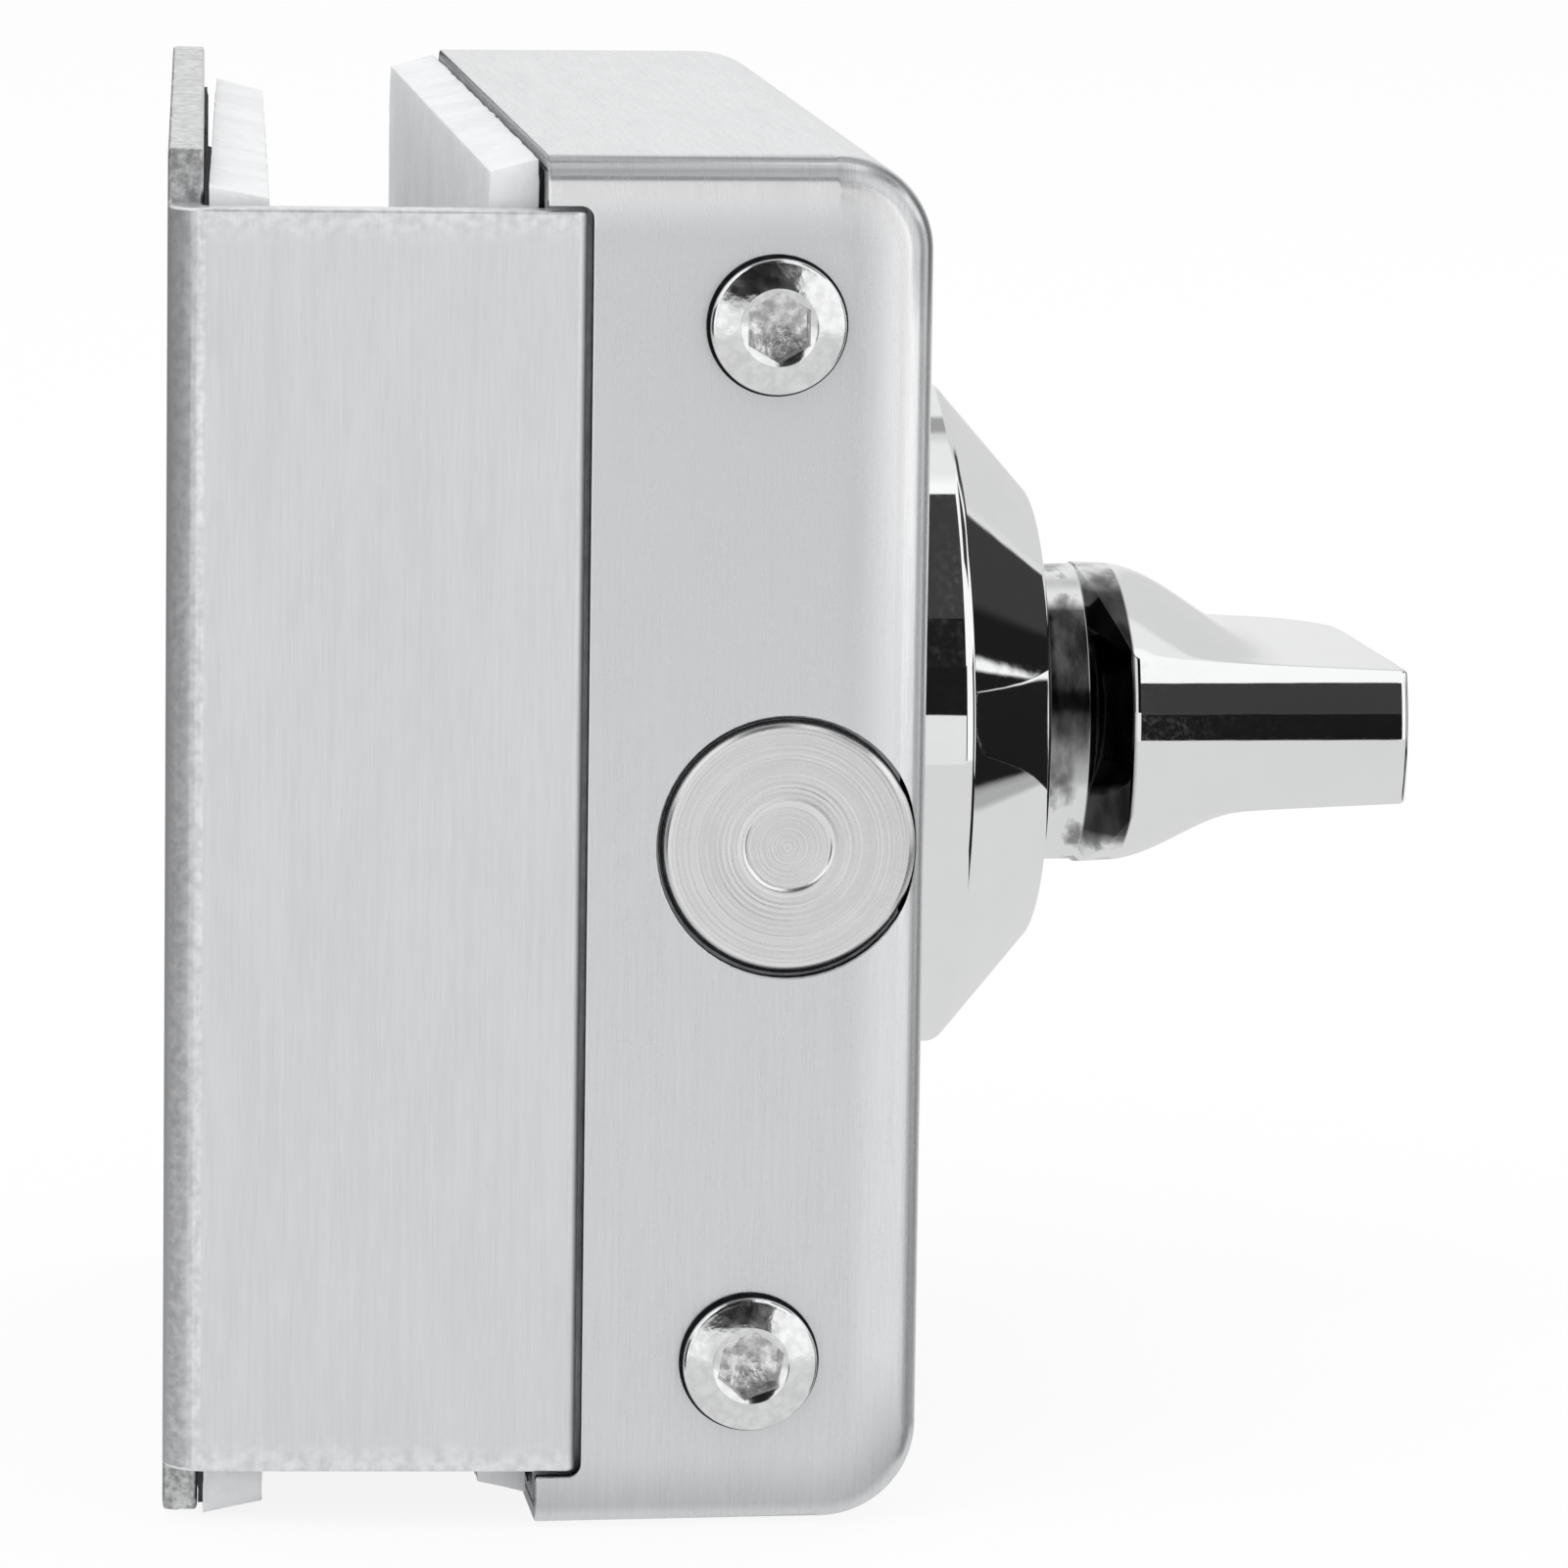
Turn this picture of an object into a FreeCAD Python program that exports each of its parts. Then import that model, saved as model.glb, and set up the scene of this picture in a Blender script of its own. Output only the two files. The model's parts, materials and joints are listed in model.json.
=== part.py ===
import FreeCAD, Part
import math
import os

# Clamp-on lock for the edge of a frameless glass door, in millimetres.
# X runs across the glass, from the clamp plate (-X) to the thumb turn (+X).
# Y runs along the door; the bolt leaves the end face towards -Y. Z is up.
# The origin is where the thumb turn's axis meets the glass face of the inner gasket.

Vec = FreeCAD.Vector
ALONG_X = Vec(1, 0, 0)
ALONG_Y = Vec(0, 1, 0)
ALONG_Z = Vec(0, 0, 1)

# Whole lock
lock_height = 86.0
lock_depth = 86.0
rear_reach = 28.0
case_thickness = 24.1
glass_slot = 13.5
rest_tilt_deg = 3.2

# Sheets, gaskets and their tapes
cover_wall = 1.0
base_thickness = 3.0
clamp_thickness = 2.2
inner_gasket_thickness = 3.2
outer_gasket_thickness = 3.3
inner_tape_thickness = 0.3
outer_tape_thickness = 0.8
gasket_draft = 0.8
gasket_setback = 3.0
inner_gasket_rise = 0.5
inner_gasket_trim = 1.7
outer_gasket_trim = 2.2
tape_inset = 0.6

# Roundings
cover_long_radius = 6.0
cover_edge_radius = 1.4
clamp_bend_radius = 2.6
clamp_inner_bend_radius = 0.6
notch_corner_radius = 0.8
flange_tip_radius = 0.7

# Clamp plate flange and its notch in the cover
flange_entry = 2.5
flange_trim = 3.4
bend_relief = 1.4

# Gaps
fit_gap = 0.05
seat_gap = 0.02
part_gap = 0.3
base_gap = 0.15
gear_gap = 0.4

# Bolt and its guide
bolt_diameter = 16.0
bolt_hole_gap = 0.25
bolt_skin = 0.48
bolt_nose_length = 30.0
bolt_chamfer = 0.45
bolt_spot_diameter = 5.5
bolt_spot_depth = 0.12
housing_length = 14.5
housing_side_wall = 6.5

# Rack and pinion
gear_module = 1.0
pinion_teeth = 18
pressure_angle_deg = 20.0
gear_backlash = 0.16
gear_width = 6.0
rack_back = 3.75
rack_web_length = 6.0
rack_far_gap = 3.5
pinion_hub_diameter = 14.0
pinion_journal_diameter = 11.0
turn_range_deg = 90.0

# Bridge over the pinion
bridge_thickness = 1.5
bridge_length = 26.0
bridge_foot = 8.0

# Spindle, thumb turn and what holds it
spindle_side = 7.0
spindle_end_gap = 0.7
spindle_in_turn = 17.9
stem_diameter = 12.0
stem_tail = 0.6
bush_wall = 2.0
washer_thickness = 0.7
washer_width = 2.4
ring_thickness = 0.8
ring_groove_depth = 0.5
ring_width = 2.6
ring_mouth = 6.0
collar_radius = 10.1
collar_length = 3.0
collar_gap = 0.3
bevel_length = 2.6
blade_radius = 13.6
blade_reach = 38.5
blade_root_thickness = 11.2
blade_tip_thickness = 9.1
blade_tip_radius = 0.8
blade_crown = 0.1
fairing_start = 20.0
fairing_end = 29.0
fairing_steps = 13
shoulder_rise = 0.08
section_overhang = 1.0

# Rose
rose_height = 14.0
rose_radius = 22.5
rose_crease_height = 7.6
rose_top_radius = 15.1
rose_wall = 2.0
rose_edge_radius = 1.3
rose_crease_radius = 0.4
rose_boss_wall = 2.5
rose_screw_offset = 14.0
rose_screw_boss_radius = 3.0

# Fasteners: thread, head across, head height, hexagon across flats
cover_screw = {"thread": 5.0, "head": 8.8, "height": 1.5, "hexagon": 4.0, "length": 12.0}
clamp_screw = {"thread": 5.0, "head": 9.0, "height": 2.7, "hexagon": 3.0, "length": 19.0}
plate_screw = {"thread": 4.0, "head": 7.5, "height": 2.0, "hexagon": 2.5, "length": 9.0}
bridge_screw = {"thread": 3.0, "head": 5.5, "height": 1.6, "hexagon": 2.0, "length": 4.3}
rose_screw = {"thread": 3.0, "head": 5.5, "height": 1.6, "hexagon": 2.0, "length": 6.0}
set_screw = {"thread": 3.0, "hexagon": 1.5, "sink": 0.5}
head_bevel = 0.35
hexagon_depth_share = 0.6
screw_hole_gap = 0.25

# Places of the fasteners
cover_screw_height = 32.6
cover_screw_top_x = 14.2
cover_screw_bottom_x = 13.3
block_wall = 2.3
block_length = 10.0
clamp_screw_height = 21.0
clamp_screw_inset = 9.0
clamp_hole_gap = 1.0
sleeve_wall = 2.0
sleeve_length = 11.6
housing_screw_height = 11.0
plate_screw_margin = 0.9
bridge_screw_spacing = 16.0

# Planes across the glass
x_rim = inner_gasket_thickness + inner_tape_thickness
x_base = x_rim + base_thickness
x_face = x_rim + case_thickness
x_ceiling = x_face - cover_wall
x_outer_gasket = -glass_slot
x_outer_tape = x_outer_gasket - outer_gasket_thickness
x_clamp_inside = x_outer_tape - outer_tape_thickness
x_clamp_outside = x_clamp_inside - clamp_thickness
x_flange_tip = x_rim + flange_entry

# Planes along the door and upwards
y_near = rear_reach - lock_depth
y_far = rear_reach
y_near_inside = y_near + cover_wall
y_far_inside = y_far - cover_wall
y_flange_inside = y_near + clamp_thickness
y_gasket = y_near + gasket_setback
y_base = y_flange_inside + part_gap
y_clamp_screw = y_near + clamp_screw_inset
y_plate_screw = y_base + plate_screw["head"] / 2.0 + plate_screw_margin
z_top = lock_height / 2.0
z_flange = z_top - flange_trim
z_inside = z_top - cover_wall

# Bolt, rack and pinion
bolt_radius = bolt_diameter / 2.0
bolt_hole_radius = bolt_radius + bolt_hole_gap
x_bolt = x_face - bolt_skin - bolt_hole_radius
pitch_radius = gear_module * pinion_teeth / 2.0
bolt_throw = pitch_radius * math.radians(turn_range_deg)
tooth_pitch = math.pi * gear_module
addendum = gear_module
dedendum = 1.25 * gear_module
z_rack_tip = pitch_radius - addendum
z_rack_root = pitch_radius + dedendum
z_rack_back = z_rack_root + rack_back
x_rack_low = x_bolt - gear_width / 2.0
x_rack_high = x_bolt + gear_width / 2.0
y_nose_back = y_near + bolt_nose_length
x_bridge = x_rack_high + gear_gap
x_bridge_top = x_bridge + bridge_thickness

# Thumb turn stack
x_rose_top = x_face + rose_height
x_collar = x_rose_top + collar_gap
x_collar_end = x_collar + collar_length
x_blade_end = x_face + blade_reach
blade_start = rose_height + collar_gap + collar_length
x_washer = x_ceiling - fit_gap - washer_thickness
x_ring = x_washer - fit_gap - ring_thickness
x_stem_end = x_ring - fit_gap - stem_tail
stem_radius = stem_diameter / 2.0
bush_radius = stem_radius + fit_gap + bush_wall

# Heel line that the clamp plate tips on
heel = Vec(x_flange_tip, y_near + clamp_thickness / 2.0, 0)


def box(x0, x1, y0, y1, z0, z1):
    """A block between two corners."""
    return Part.makeBox(x1 - x0, y1 - y0, z1 - z0, Vec(x0, y0, z0))


def rod(radius, start, end):
    """A round bar between two points."""
    along = end - start
    return Part.makeCylinder(radius, along.Length, start, along)


def tube(outer, inner, start, end):
    """A round bar with a bore."""
    return rod(outer, start, end).cut(rod(inner, start, end))


def union(first, *others):
    """Join solids and drop the seams between them."""
    return first.multiFuse(list(others)).removeSplitter()


def difference(shape, *tools):
    """Cut every tool out of a shape."""
    for tool in tools:
        shape = shape.cut(tool)
    return shape


def edges_where(shape, test):
    """The edges whose bounding box passes a test."""
    return [edge for edge in shape.Edges if test(edge.BoundBox)]


def turned(points):
    """A solid of revolution about the X axis from (x, radius) points."""
    corners = [Vec(x, 0, radius) for x, radius in points]
    face = Part.Face(Part.makePolygon(corners + corners[:1]))
    return face.revolve(Vec(0, 0, 0), ALONG_X, 360)


def prism(points, low, high):
    """A solid with an (x, y) outline, from one height to another."""
    corners = [Vec(x, y, low) for x, y in points]
    face = Part.Face(Part.makePolygon(corners + corners[:1]))
    return face.extrude(Vec(0, 0, high - low))


def hexagon_socket(across, depth):
    """A hexagon prism that reaches down from z = 0."""
    radius = across / math.sqrt(3.0)
    corners = [
        Vec(radius * math.cos(turn), radius * math.sin(turn), -depth)
        for turn in [math.radians(60 * step) for step in range(6)]
    ]
    face = Part.Face(Part.makePolygon(corners + corners[:1]))
    return face.extrude(Vec(0, 0, depth))


def placed(shape, point, outward):
    """Stand a shape built on +Z at a point, with +Z turned to the outward direction."""
    rotation = FreeCAD.Rotation(ALONG_Z, outward)
    copy = shape.copy()
    copy.Placement = FreeCAD.Placement(point, rotation)
    return copy


def flat_screw(size):
    """A low-headed socket screw that seats at z = 0 with its shank below."""
    head = rod(size["head"] / 2.0, Vec(0, 0, 0), Vec(0, 0, size["height"]))
    head = head.makeChamfer(head_bevel, edges_where(head, lambda b: b.ZMin > size["height"] - head_bevel))
    shank = rod(size["thread"] / 2.0, Vec(0, 0, -size["length"]), Vec(0, 0, 0))
    depth = size["height"] * (1.0 + hexagon_depth_share)
    socket = hexagon_socket(size["hexagon"], depth)
    socket.translate(Vec(0, 0, size["height"]))
    return union(head, shank).cut(socket)


def sunk_screw(size):
    """A countersunk socket screw whose head top lies at z = 0."""
    head = Part.makeCone(size["thread"] / 2.0, size["head"] / 2.0, size["height"], Vec(0, 0, -size["height"]))
    shank = rod(size["thread"] / 2.0, Vec(0, 0, -size["length"]), Vec(0, 0, -size["height"]))
    return union(head, shank).cut(hexagon_socket(size["hexagon"], size["height"]))


def sink_hole(size, through, point, outward):
    """The room for a countersunk screw: clearance in one plate, thread in the next."""
    head = size["head"] / 2.0 + screw_hole_gap
    hole = size["thread"] / 2.0 + screw_hole_gap
    cone = Part.makeCone(hole, head, head - hole, Vec(0, 0, hole - head))
    clear = rod(hole, Vec(0, 0, -through), Vec(0, 0, 0))
    return placed(cone.fuse(clear), point, outward)


def tapped_hole(size, point, inward, length):
    """A threaded hole that starts at a point."""
    return rod(size["thread"] / 2.0 + seat_gap, point, point + inward * length)


def tipped(shape):
    """Lean a clamp-side shape in about the heel, as it hangs with no glass."""
    copy = shape.copy()
    copy.rotate(heel, ALONG_Z, -rest_tilt_deg)
    return copy


def rounded_case(inset, long_radius, edge_radius):
    """The cover's outer form, or its hollow when it is inset by the wall."""
    x0 = x_rim - inset
    x1 = x_face - inset
    y0 = y_near + inset
    y1 = y_far - inset
    z1 = z_top - inset
    shape = box(x0, x1, y0, y1, -z1, z1)
    small = 0.01
    long_edges = edges_where(shape, lambda b: b.YLength > small and b.XMin > x1 - small)
    shape = shape.makeFillet(long_radius, long_edges)
    ends = edges_where(shape, lambda b: b.YLength < small and b.XMax > x0 + small)
    return shape.makeFillet(edge_radius, ends)


def cover_screw_points():
    """Where the two end-face screws seat on the end face."""
    return [
        Vec(x_rim + cover_screw_top_x, y_near, cover_screw_height),
        Vec(x_rim + cover_screw_bottom_x, y_near, -cover_screw_height),
    ]


def block_screw_points():
    """Where the screws of the two cover blocks enter the base plate."""
    return [Vec(x_rim, y_plate_screw, side * cover_screw_height) for side in (1, -1)]


def housing_screw_points():
    """Where the bolt housing's screws enter the base plate."""
    return [Vec(x_rim, y_plate_screw, side * housing_screw_height) for side in (1, -1)]


def bridge_foot_lines():
    """The outer face height and side of each of the bridge's two feet."""
    upper = z_rack_back + fit_gap + bridge_thickness
    lower = pitch_radius + addendum + gear_gap + bridge_thickness
    return [(1, upper), (-1, lower)]


def bridge_screw_points():
    """Where the bridge's screws seat on its feet."""
    points = []
    for side, wall in bridge_foot_lines():
        for end in (-1, 1):
            z = side * (wall + bridge_foot / 2.0)
            points.append(Vec(x_base + bridge_thickness, end * bridge_screw_spacing / 2.0, z))
    return points


def rose_screw_points():
    """Where the rose's screws seat on the cover's inside."""
    return [Vec(x_ceiling, 0, side * rose_screw_offset) for side in (1, -1)]


def clamp_screw_points():
    """Where the clamp screws seat on the base plate when the plates are parallel."""
    return [Vec(x_base + seat_gap, y_clamp_screw, side * clamp_screw_height) for side in (1, -1)]


def make_cover():
    """The brushed shell, open towards the glass."""
    shell = rounded_case(0.0, cover_long_radius, cover_edge_radius)
    hollow = rounded_case(cover_wall, cover_long_radius - cover_wall, cover_edge_radius - cover_wall)
    bolt_way = rod(bolt_hole_radius, Vec(x_bolt, y_near - 1, 0), Vec(x_bolt, y_nose_back + part_gap, 0))
    notch_z = z_flange + part_gap
    notch = box(x_rim - 1, x_flange_tip + part_gap, y_near - 1, y_flange_inside + part_gap, -notch_z, notch_z)
    corners = edges_where(notch, lambda b: b.YLength > 1 and b.XMin > x_flange_tip)
    notch = notch.makeFillet(notch_corner_radius, corners)
    stem_hole = rod(bush_radius + fit_gap, Vec(x_ceiling - 1, 0, 0), Vec(x_face + 1, 0, 0))
    tools = [hollow, bolt_way, notch, stem_hole]
    hole = cover_screw["thread"] / 2.0 + screw_hole_gap
    for point in cover_screw_points():
        tools.append(rod(hole, point - ALONG_Y, point + ALONG_Y * 2 * cover_wall))
    hole = rose_screw["thread"] / 2.0 + screw_hole_gap
    for point in rose_screw_points():
        tools.append(rod(hole, point - ALONG_X, point + ALONG_X * 2 * cover_wall))
    return difference(shell, *tools)


def make_base_plate():
    """The steel plate that closes the cover and carries the lock work."""
    z1 = z_inside - base_gap
    plate = box(x_rim, x_base, y_base, y_far_inside - base_gap, -z1, z1)
    tools = [rod(pinion_journal_diameter / 2.0 + fit_gap, Vec(x_rim - 1, 0, 0), Vec(x_base + 1, 0, 0))]
    for point in block_screw_points() + housing_screw_points():
        tools.append(sink_hole(plate_screw, 2 * base_thickness, point, -ALONG_X))
    for point in bridge_screw_points():
        tools.append(tapped_hole(bridge_screw, point, -ALONG_X, base_thickness + bridge_thickness))
    hole = clamp_screw["thread"] / 2.0 + clamp_hole_gap
    for point in clamp_screw_points():
        tools.append(rod(hole, point - ALONG_X * 2 * base_thickness, point + ALONG_X))
    return difference(plate, *tools)


def make_cover_blocks():
    """The two tapped blocks that take the end-face screws."""
    blocks = []
    half = cover_screw["thread"] / 2.0 + block_wall
    for screw_point, base_point in zip(cover_screw_points(), block_screw_points()):
        z = screw_point.z
        x1 = screw_point.x + half
        block = box(x_base, x1, y_near_inside, y_near_inside + block_length, z - half, z + half)
        thread = tapped_hole(cover_screw, screw_point, ALONG_Y, 2 * cover_screw["length"])
        foot = tapped_hole(plate_screw, base_point, ALONG_X, plate_screw["length"] + part_gap)
        blocks.append(difference(block, thread, foot))
    return Part.makeCompound(blocks)


def make_bolt_housing():
    """The block on the base plate whose bore guides the bolt."""
    half = bolt_radius + housing_side_wall
    y1 = y_near_inside + housing_length
    inner_radius = cover_edge_radius - cover_wall
    block = box(x_base, x_ceiling - inner_radius - part_gap, y_near_inside, y1, -half, half)
    bore = rod(bolt_radius + fit_gap, Vec(x_bolt, y_near, 0), Vec(x_bolt, y1 + 1, 0))
    tools = [bore]
    for point in housing_screw_points():
        tools.append(tapped_hole(plate_screw, point, ALONG_X, plate_screw["length"] + part_gap))
    return difference(block, *tools)


def rack_tooth(y):
    """One tooth of the rack, as a prism that points towards the pinion."""
    slope = math.tan(math.radians(pressure_angle_deg))
    at_pitch = tooth_pitch / 4.0 - gear_backlash / 2.0
    tip = at_pitch - addendum * slope
    root = at_pitch + dedendum * slope
    corners = [
        Vec(x_rack_low, y - root, z_rack_root),
        Vec(x_rack_low, y - tip, z_rack_tip),
        Vec(x_rack_low, y + tip, z_rack_tip),
        Vec(x_rack_low, y + root, z_rack_root),
    ]
    face = Part.Face(Part.makePolygon(corners + corners[:1]))
    return face.extrude(ALONG_X * gear_width)


def make_bolt():
    """The round bolt with its web and toothed tail, drawn back flush."""
    nose = rod(bolt_radius, Vec(x_bolt, y_near, 0), Vec(x_bolt, y_nose_back, 0))
    nose = nose.makeChamfer(bolt_chamfer, edges_where(nose, lambda b: b.YMax < y_near + bolt_chamfer))
    spot_end = Vec(x_bolt, y_near + bolt_spot_depth, 0)
    nose = nose.cut(rod(bolt_spot_diameter / 2.0, Vec(x_bolt, y_near - 1, 0), spot_end))
    y_web = y_nose_back + rack_web_length
    web = box(x_rack_low, x_rack_high, y_nose_back, y_web, -bolt_radius / 2.0, z_rack_back)
    y_end = y_far_inside - rack_far_gap
    bar = box(x_rack_low, x_rack_high, y_nose_back, y_end, z_rack_root, z_rack_back)
    first = -int(2 * addendum / tooth_pitch) - 1
    last = int((bolt_throw + 2 * addendum) / tooth_pitch) + 1
    teeth = [rack_tooth(step * tooth_pitch) for step in range(first, last + 1)]
    return union(nose, web, bar, *teeth)


def involute_point(base_radius, radius, start):
    """A point on an involute, at a radius, with the curve's foot at an angle."""
    roll = math.sqrt(max((radius / base_radius) ** 2 - 1.0, 0.0))
    angle = start + roll - math.atan(roll)
    return Vec(0, radius * math.cos(angle), radius * math.sin(angle))


def pinion_outline():
    """The pinion's toothed outline in the YZ plane, with a gap straight up."""
    pressure = math.radians(pressure_angle_deg)
    base_radius = pitch_radius * math.cos(pressure)
    tip_radius = pitch_radius + addendum
    root_radius = pitch_radius - dedendum
    half_tooth = (tooth_pitch / 4.0 - gear_backlash / 2.0) / pitch_radius
    foot = half_tooth + math.tan(pressure) - pressure
    step = 2.0 * math.pi / pinion_teeth
    radii = [base_radius + share * (tip_radius - base_radius) for share in (0.0, 0.35, 0.7, 1.0)]
    edges = []
    for index in range(pinion_teeth):
        middle = math.pi / 2.0 + (index + 0.5) * step
        rise = [involute_point(base_radius, radius, -foot) for radius in radii]
        fall = [Vec(0, point.y, -point.z) for point in reversed(rise)]
        low = [Vec(0, root_radius * math.cos(foot), side * root_radius * math.sin(foot)) for side in (-1, 1)]
        next_low = Vec(0, root_radius * math.cos(step - foot), root_radius * math.sin(step - foot))
        valley = Vec(0, root_radius * math.cos(step / 2.0), root_radius * math.sin(step / 2.0))
        up = Part.BSplineCurve()
        up.interpolate(rise)
        down = Part.BSplineCurve()
        down.interpolate(fall)
        tooth = [
            Part.makeLine(low[0], rise[0]),
            up.toShape(),
            Part.Arc(rise[-1], Vec(0, tip_radius, 0), fall[0]).toShape(),
            down.toShape(),
            Part.makeLine(fall[-1], low[1]),
            Part.Arc(low[1], valley, next_low).toShape(),
        ]
        for edge in tooth:
            edge.rotate(Vec(0, 0, 0), ALONG_X, math.degrees(middle))
        edges.extend(tooth)
    return Part.Wire(Part.__sortEdges__(edges))


def square_bar(side, x0, x1):
    """A square bar about the X axis."""
    half = side / 2.0
    return box(x0, x1, -half, half, -half, half)


def make_pinion():
    """The gear that drives the rack, with a journal at each end and a square hole."""
    wheel = Part.Face(pinion_outline()).extrude(ALONG_X * gear_width)
    wheel.translate(ALONG_X * x_rack_low)
    hub = rod(pinion_hub_diameter / 2.0, Vec(x_base + part_gap, 0, 0), Vec(x_rack_high, 0, 0))
    journal = rod(pinion_journal_diameter / 2.0, Vec(x_rim + part_gap, 0, 0), Vec(x_bridge_top, 0, 0))
    hole = square_bar(spindle_side + 2 * fit_gap, x_rim, x_bridge_top + 1)
    return union(wheel, hub, journal).cut(hole)


def make_bridge():
    """The bent strap over the pinion, which also backs the rack."""
    half = bridge_length / 2.0
    pieces = []
    (_, upper), (_, lower) = bridge_foot_lines()
    pieces.append(box(x_bridge, x_bridge_top, -half, half, -lower, upper))
    for side, wall in bridge_foot_lines():
        inner = side * (wall - bridge_thickness)
        outer = side * wall
        end = side * (wall + bridge_foot)
        pieces.append(box(x_base, x_bridge_top, -half, half, min(inner, outer), max(inner, outer)))
        pieces.append(box(x_base, x_base + bridge_thickness, -half, half, min(outer, end), max(outer, end)))
    strap = union(*pieces)
    start = Vec(x_bridge - 1, 0, 0)
    tools = [rod(pinion_journal_diameter / 2.0 + fit_gap, start, Vec(x_bridge_top + 1, 0, 0))]
    hole = bridge_screw["thread"] / 2.0 + screw_hole_gap
    for point in bridge_screw_points():
        tools.append(rod(hole, point - ALONG_X * 2 * bridge_thickness, point + ALONG_X))
    return difference(strap, *tools)


def make_spindle():
    """The square bar that carries the turn from the thumb turn to the pinion."""
    return square_bar(spindle_side, x_rim + spindle_end_gap, x_face + spindle_in_turn)


def set_screw_place():
    """The outer end of the set screw, on the far side of the collar."""
    x = x_collar + part_gap + set_screw["thread"] / 2.0
    return Vec(x, collar_radius - set_screw["sink"], 0)


def turn_section(height):
    """The turn's outline across its axis: level sides, with a crowned top and bottom
    that keep the collar's roundness at first and lose it along the fairing."""
    along = (height - blade_start) / (blade_reach - blade_start)
    half = (blade_root_thickness + along * (blade_tip_thickness - blade_root_thickness)) / 2.0
    fall = min(max((height - fairing_start) / (fairing_end - fairing_start), 0.0), 1.0)
    roundness = (1.0 + math.cos(math.pi * fall)) / 2.0
    full_crown = collar_radius + shoulder_rise - blade_root_thickness / 2.0
    crown = blade_crown + roundness * (full_crown - blade_crown)
    arc_radius = (blade_radius ** 2 + crown ** 2) / (2.0 * crown)
    side = blade_radius + section_overhang
    edge = half + crown - arc_radius + math.sqrt(arc_radius ** 2 - side ** 2)
    x = x_face + height
    corners = [(-side, edge), (side, edge), (side, -edge), (-side, -edge)]
    left_top, right_top, right_low, left_low = [Vec(x, y, z) for y, z in corners]
    return Part.Wire([
        Part.Arc(left_top, Vec(x, 0, half + crown), right_top).toShape(),
        Part.makeLine(right_top, right_low),
        Part.Arc(right_low, Vec(x, 0, -half - crown), left_low).toShape(),
        Part.makeLine(left_low, left_top),
    ])


def make_thumb_turn():
    """The chrome turn: stem, collar, bevel and a blade that flows out of the collar."""
    disc = turned([
        (x_collar_end, 0),
        (x_collar_end, collar_radius),
        (x_collar_end + bevel_length, blade_radius),
        (x_blade_end - blade_tip_radius, blade_radius),
        (x_blade_end, blade_radius - blade_tip_radius),
        (x_blade_end, 0),
    ])
    low = blade_start - section_overhang
    step = (blade_reach + section_overhang - low) / fairing_steps
    sections = [turn_section(low + index * step) for index in range(fairing_steps + 1)]
    blade = disc.common(Part.makeLoft(sections, True, False))
    collar = rod(collar_radius, Vec(x_collar, 0, 0), Vec(x_collar_end, 0, 0))
    stem = rod(stem_radius, Vec(x_stem_end, 0, 0), Vec(x_collar + 1, 0, 0))
    groove_end = Vec(x_washer - fit_gap, 0, 0)
    groove = tube(stem_radius + 1, stem_radius - ring_groove_depth, Vec(x_ring - fit_gap, 0, 0), groove_end)
    hole = square_bar(spindle_side + 2 * fit_gap, x_stem_end - 1, x_face + spindle_in_turn + fit_gap)
    thread = tapped_hole(set_screw, set_screw_place() + ALONG_Y * blade_radius, -ALONG_Y, 2 * blade_radius)
    thread = thread.common(box(x_collar, x_blade_end, 0, 2 * blade_radius, -stem_radius, stem_radius))
    return difference(union(collar, blade, stem), groove, hole, thread)


def make_set_screw():
    """The grub screw that grips the spindle inside the collar."""
    end = set_screw_place()
    foot = Vec(end.x, spindle_side / 2.0 + seat_gap, 0)
    body = rod(set_screw["thread"] / 2.0, foot, end)
    socket = hexagon_socket(set_screw["hexagon"], (end - foot).Length / 2.0)
    return body.cut(placed(socket, end, ALONG_Y))


def make_rose():
    """The hollow chrome cone that covers the stem's bearing."""
    bore = bush_radius + fit_gap
    slope = (rose_radius - rose_top_radius) / (rose_height - rose_crease_height)
    inner_top = rose_height - rose_wall
    inner_crease = rose_crease_height - rose_wall / 2.0
    inner_radius = rose_radius - rose_wall
    boss = bore + rose_boss_wall
    shell = turned([
        (x_face, boss),
        (x_face, bore),
        (x_rose_top, bore),
        (x_rose_top, rose_top_radius),
        (x_face + rose_crease_height, rose_radius),
        (x_face, rose_radius),
        (x_face, inner_radius),
        (x_face + inner_crease, inner_radius),
        (x_face + inner_top, max(inner_radius - slope * (inner_top - inner_crease), boss + 1)),
        (x_face + inner_top, boss),
    ])
    rim = edges_where(shell, lambda b: b.XMin > x_rose_top - 0.01 and b.ZMax > rose_top_radius - 0.01)
    shell = shell.makeFillet(rose_edge_radius, rim)
    crease = edges_where(
        shell, lambda b: abs(b.XMin - x_face - rose_crease_height) < 0.01 and b.ZMax > inner_radius)
    shell = shell.makeFillet(rose_crease_radius, crease)
    post_reach = rose_screw_offset + rose_screw_boss_radius + rose_wall / 2.0
    post_height = rose_crease_height + (rose_radius - post_reach) / slope
    posts = []
    threads = []
    for point in rose_screw_points():
        foot = Vec(x_face, 0, point.z)
        posts.append(rod(rose_screw_boss_radius, foot, foot + ALONG_X * post_height))
        threads.append(tapped_hole(rose_screw, foot - ALONG_X, ALONG_X, rose_screw["length"] + 1))
    return difference(union(shell, *posts), *threads)


def make_turn_bush():
    """The plain bearing sleeve that the stem turns in."""
    return tube(bush_radius, stem_radius + fit_gap, Vec(x_ceiling, 0, 0), Vec(x_rose_top, 0, 0))


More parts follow.
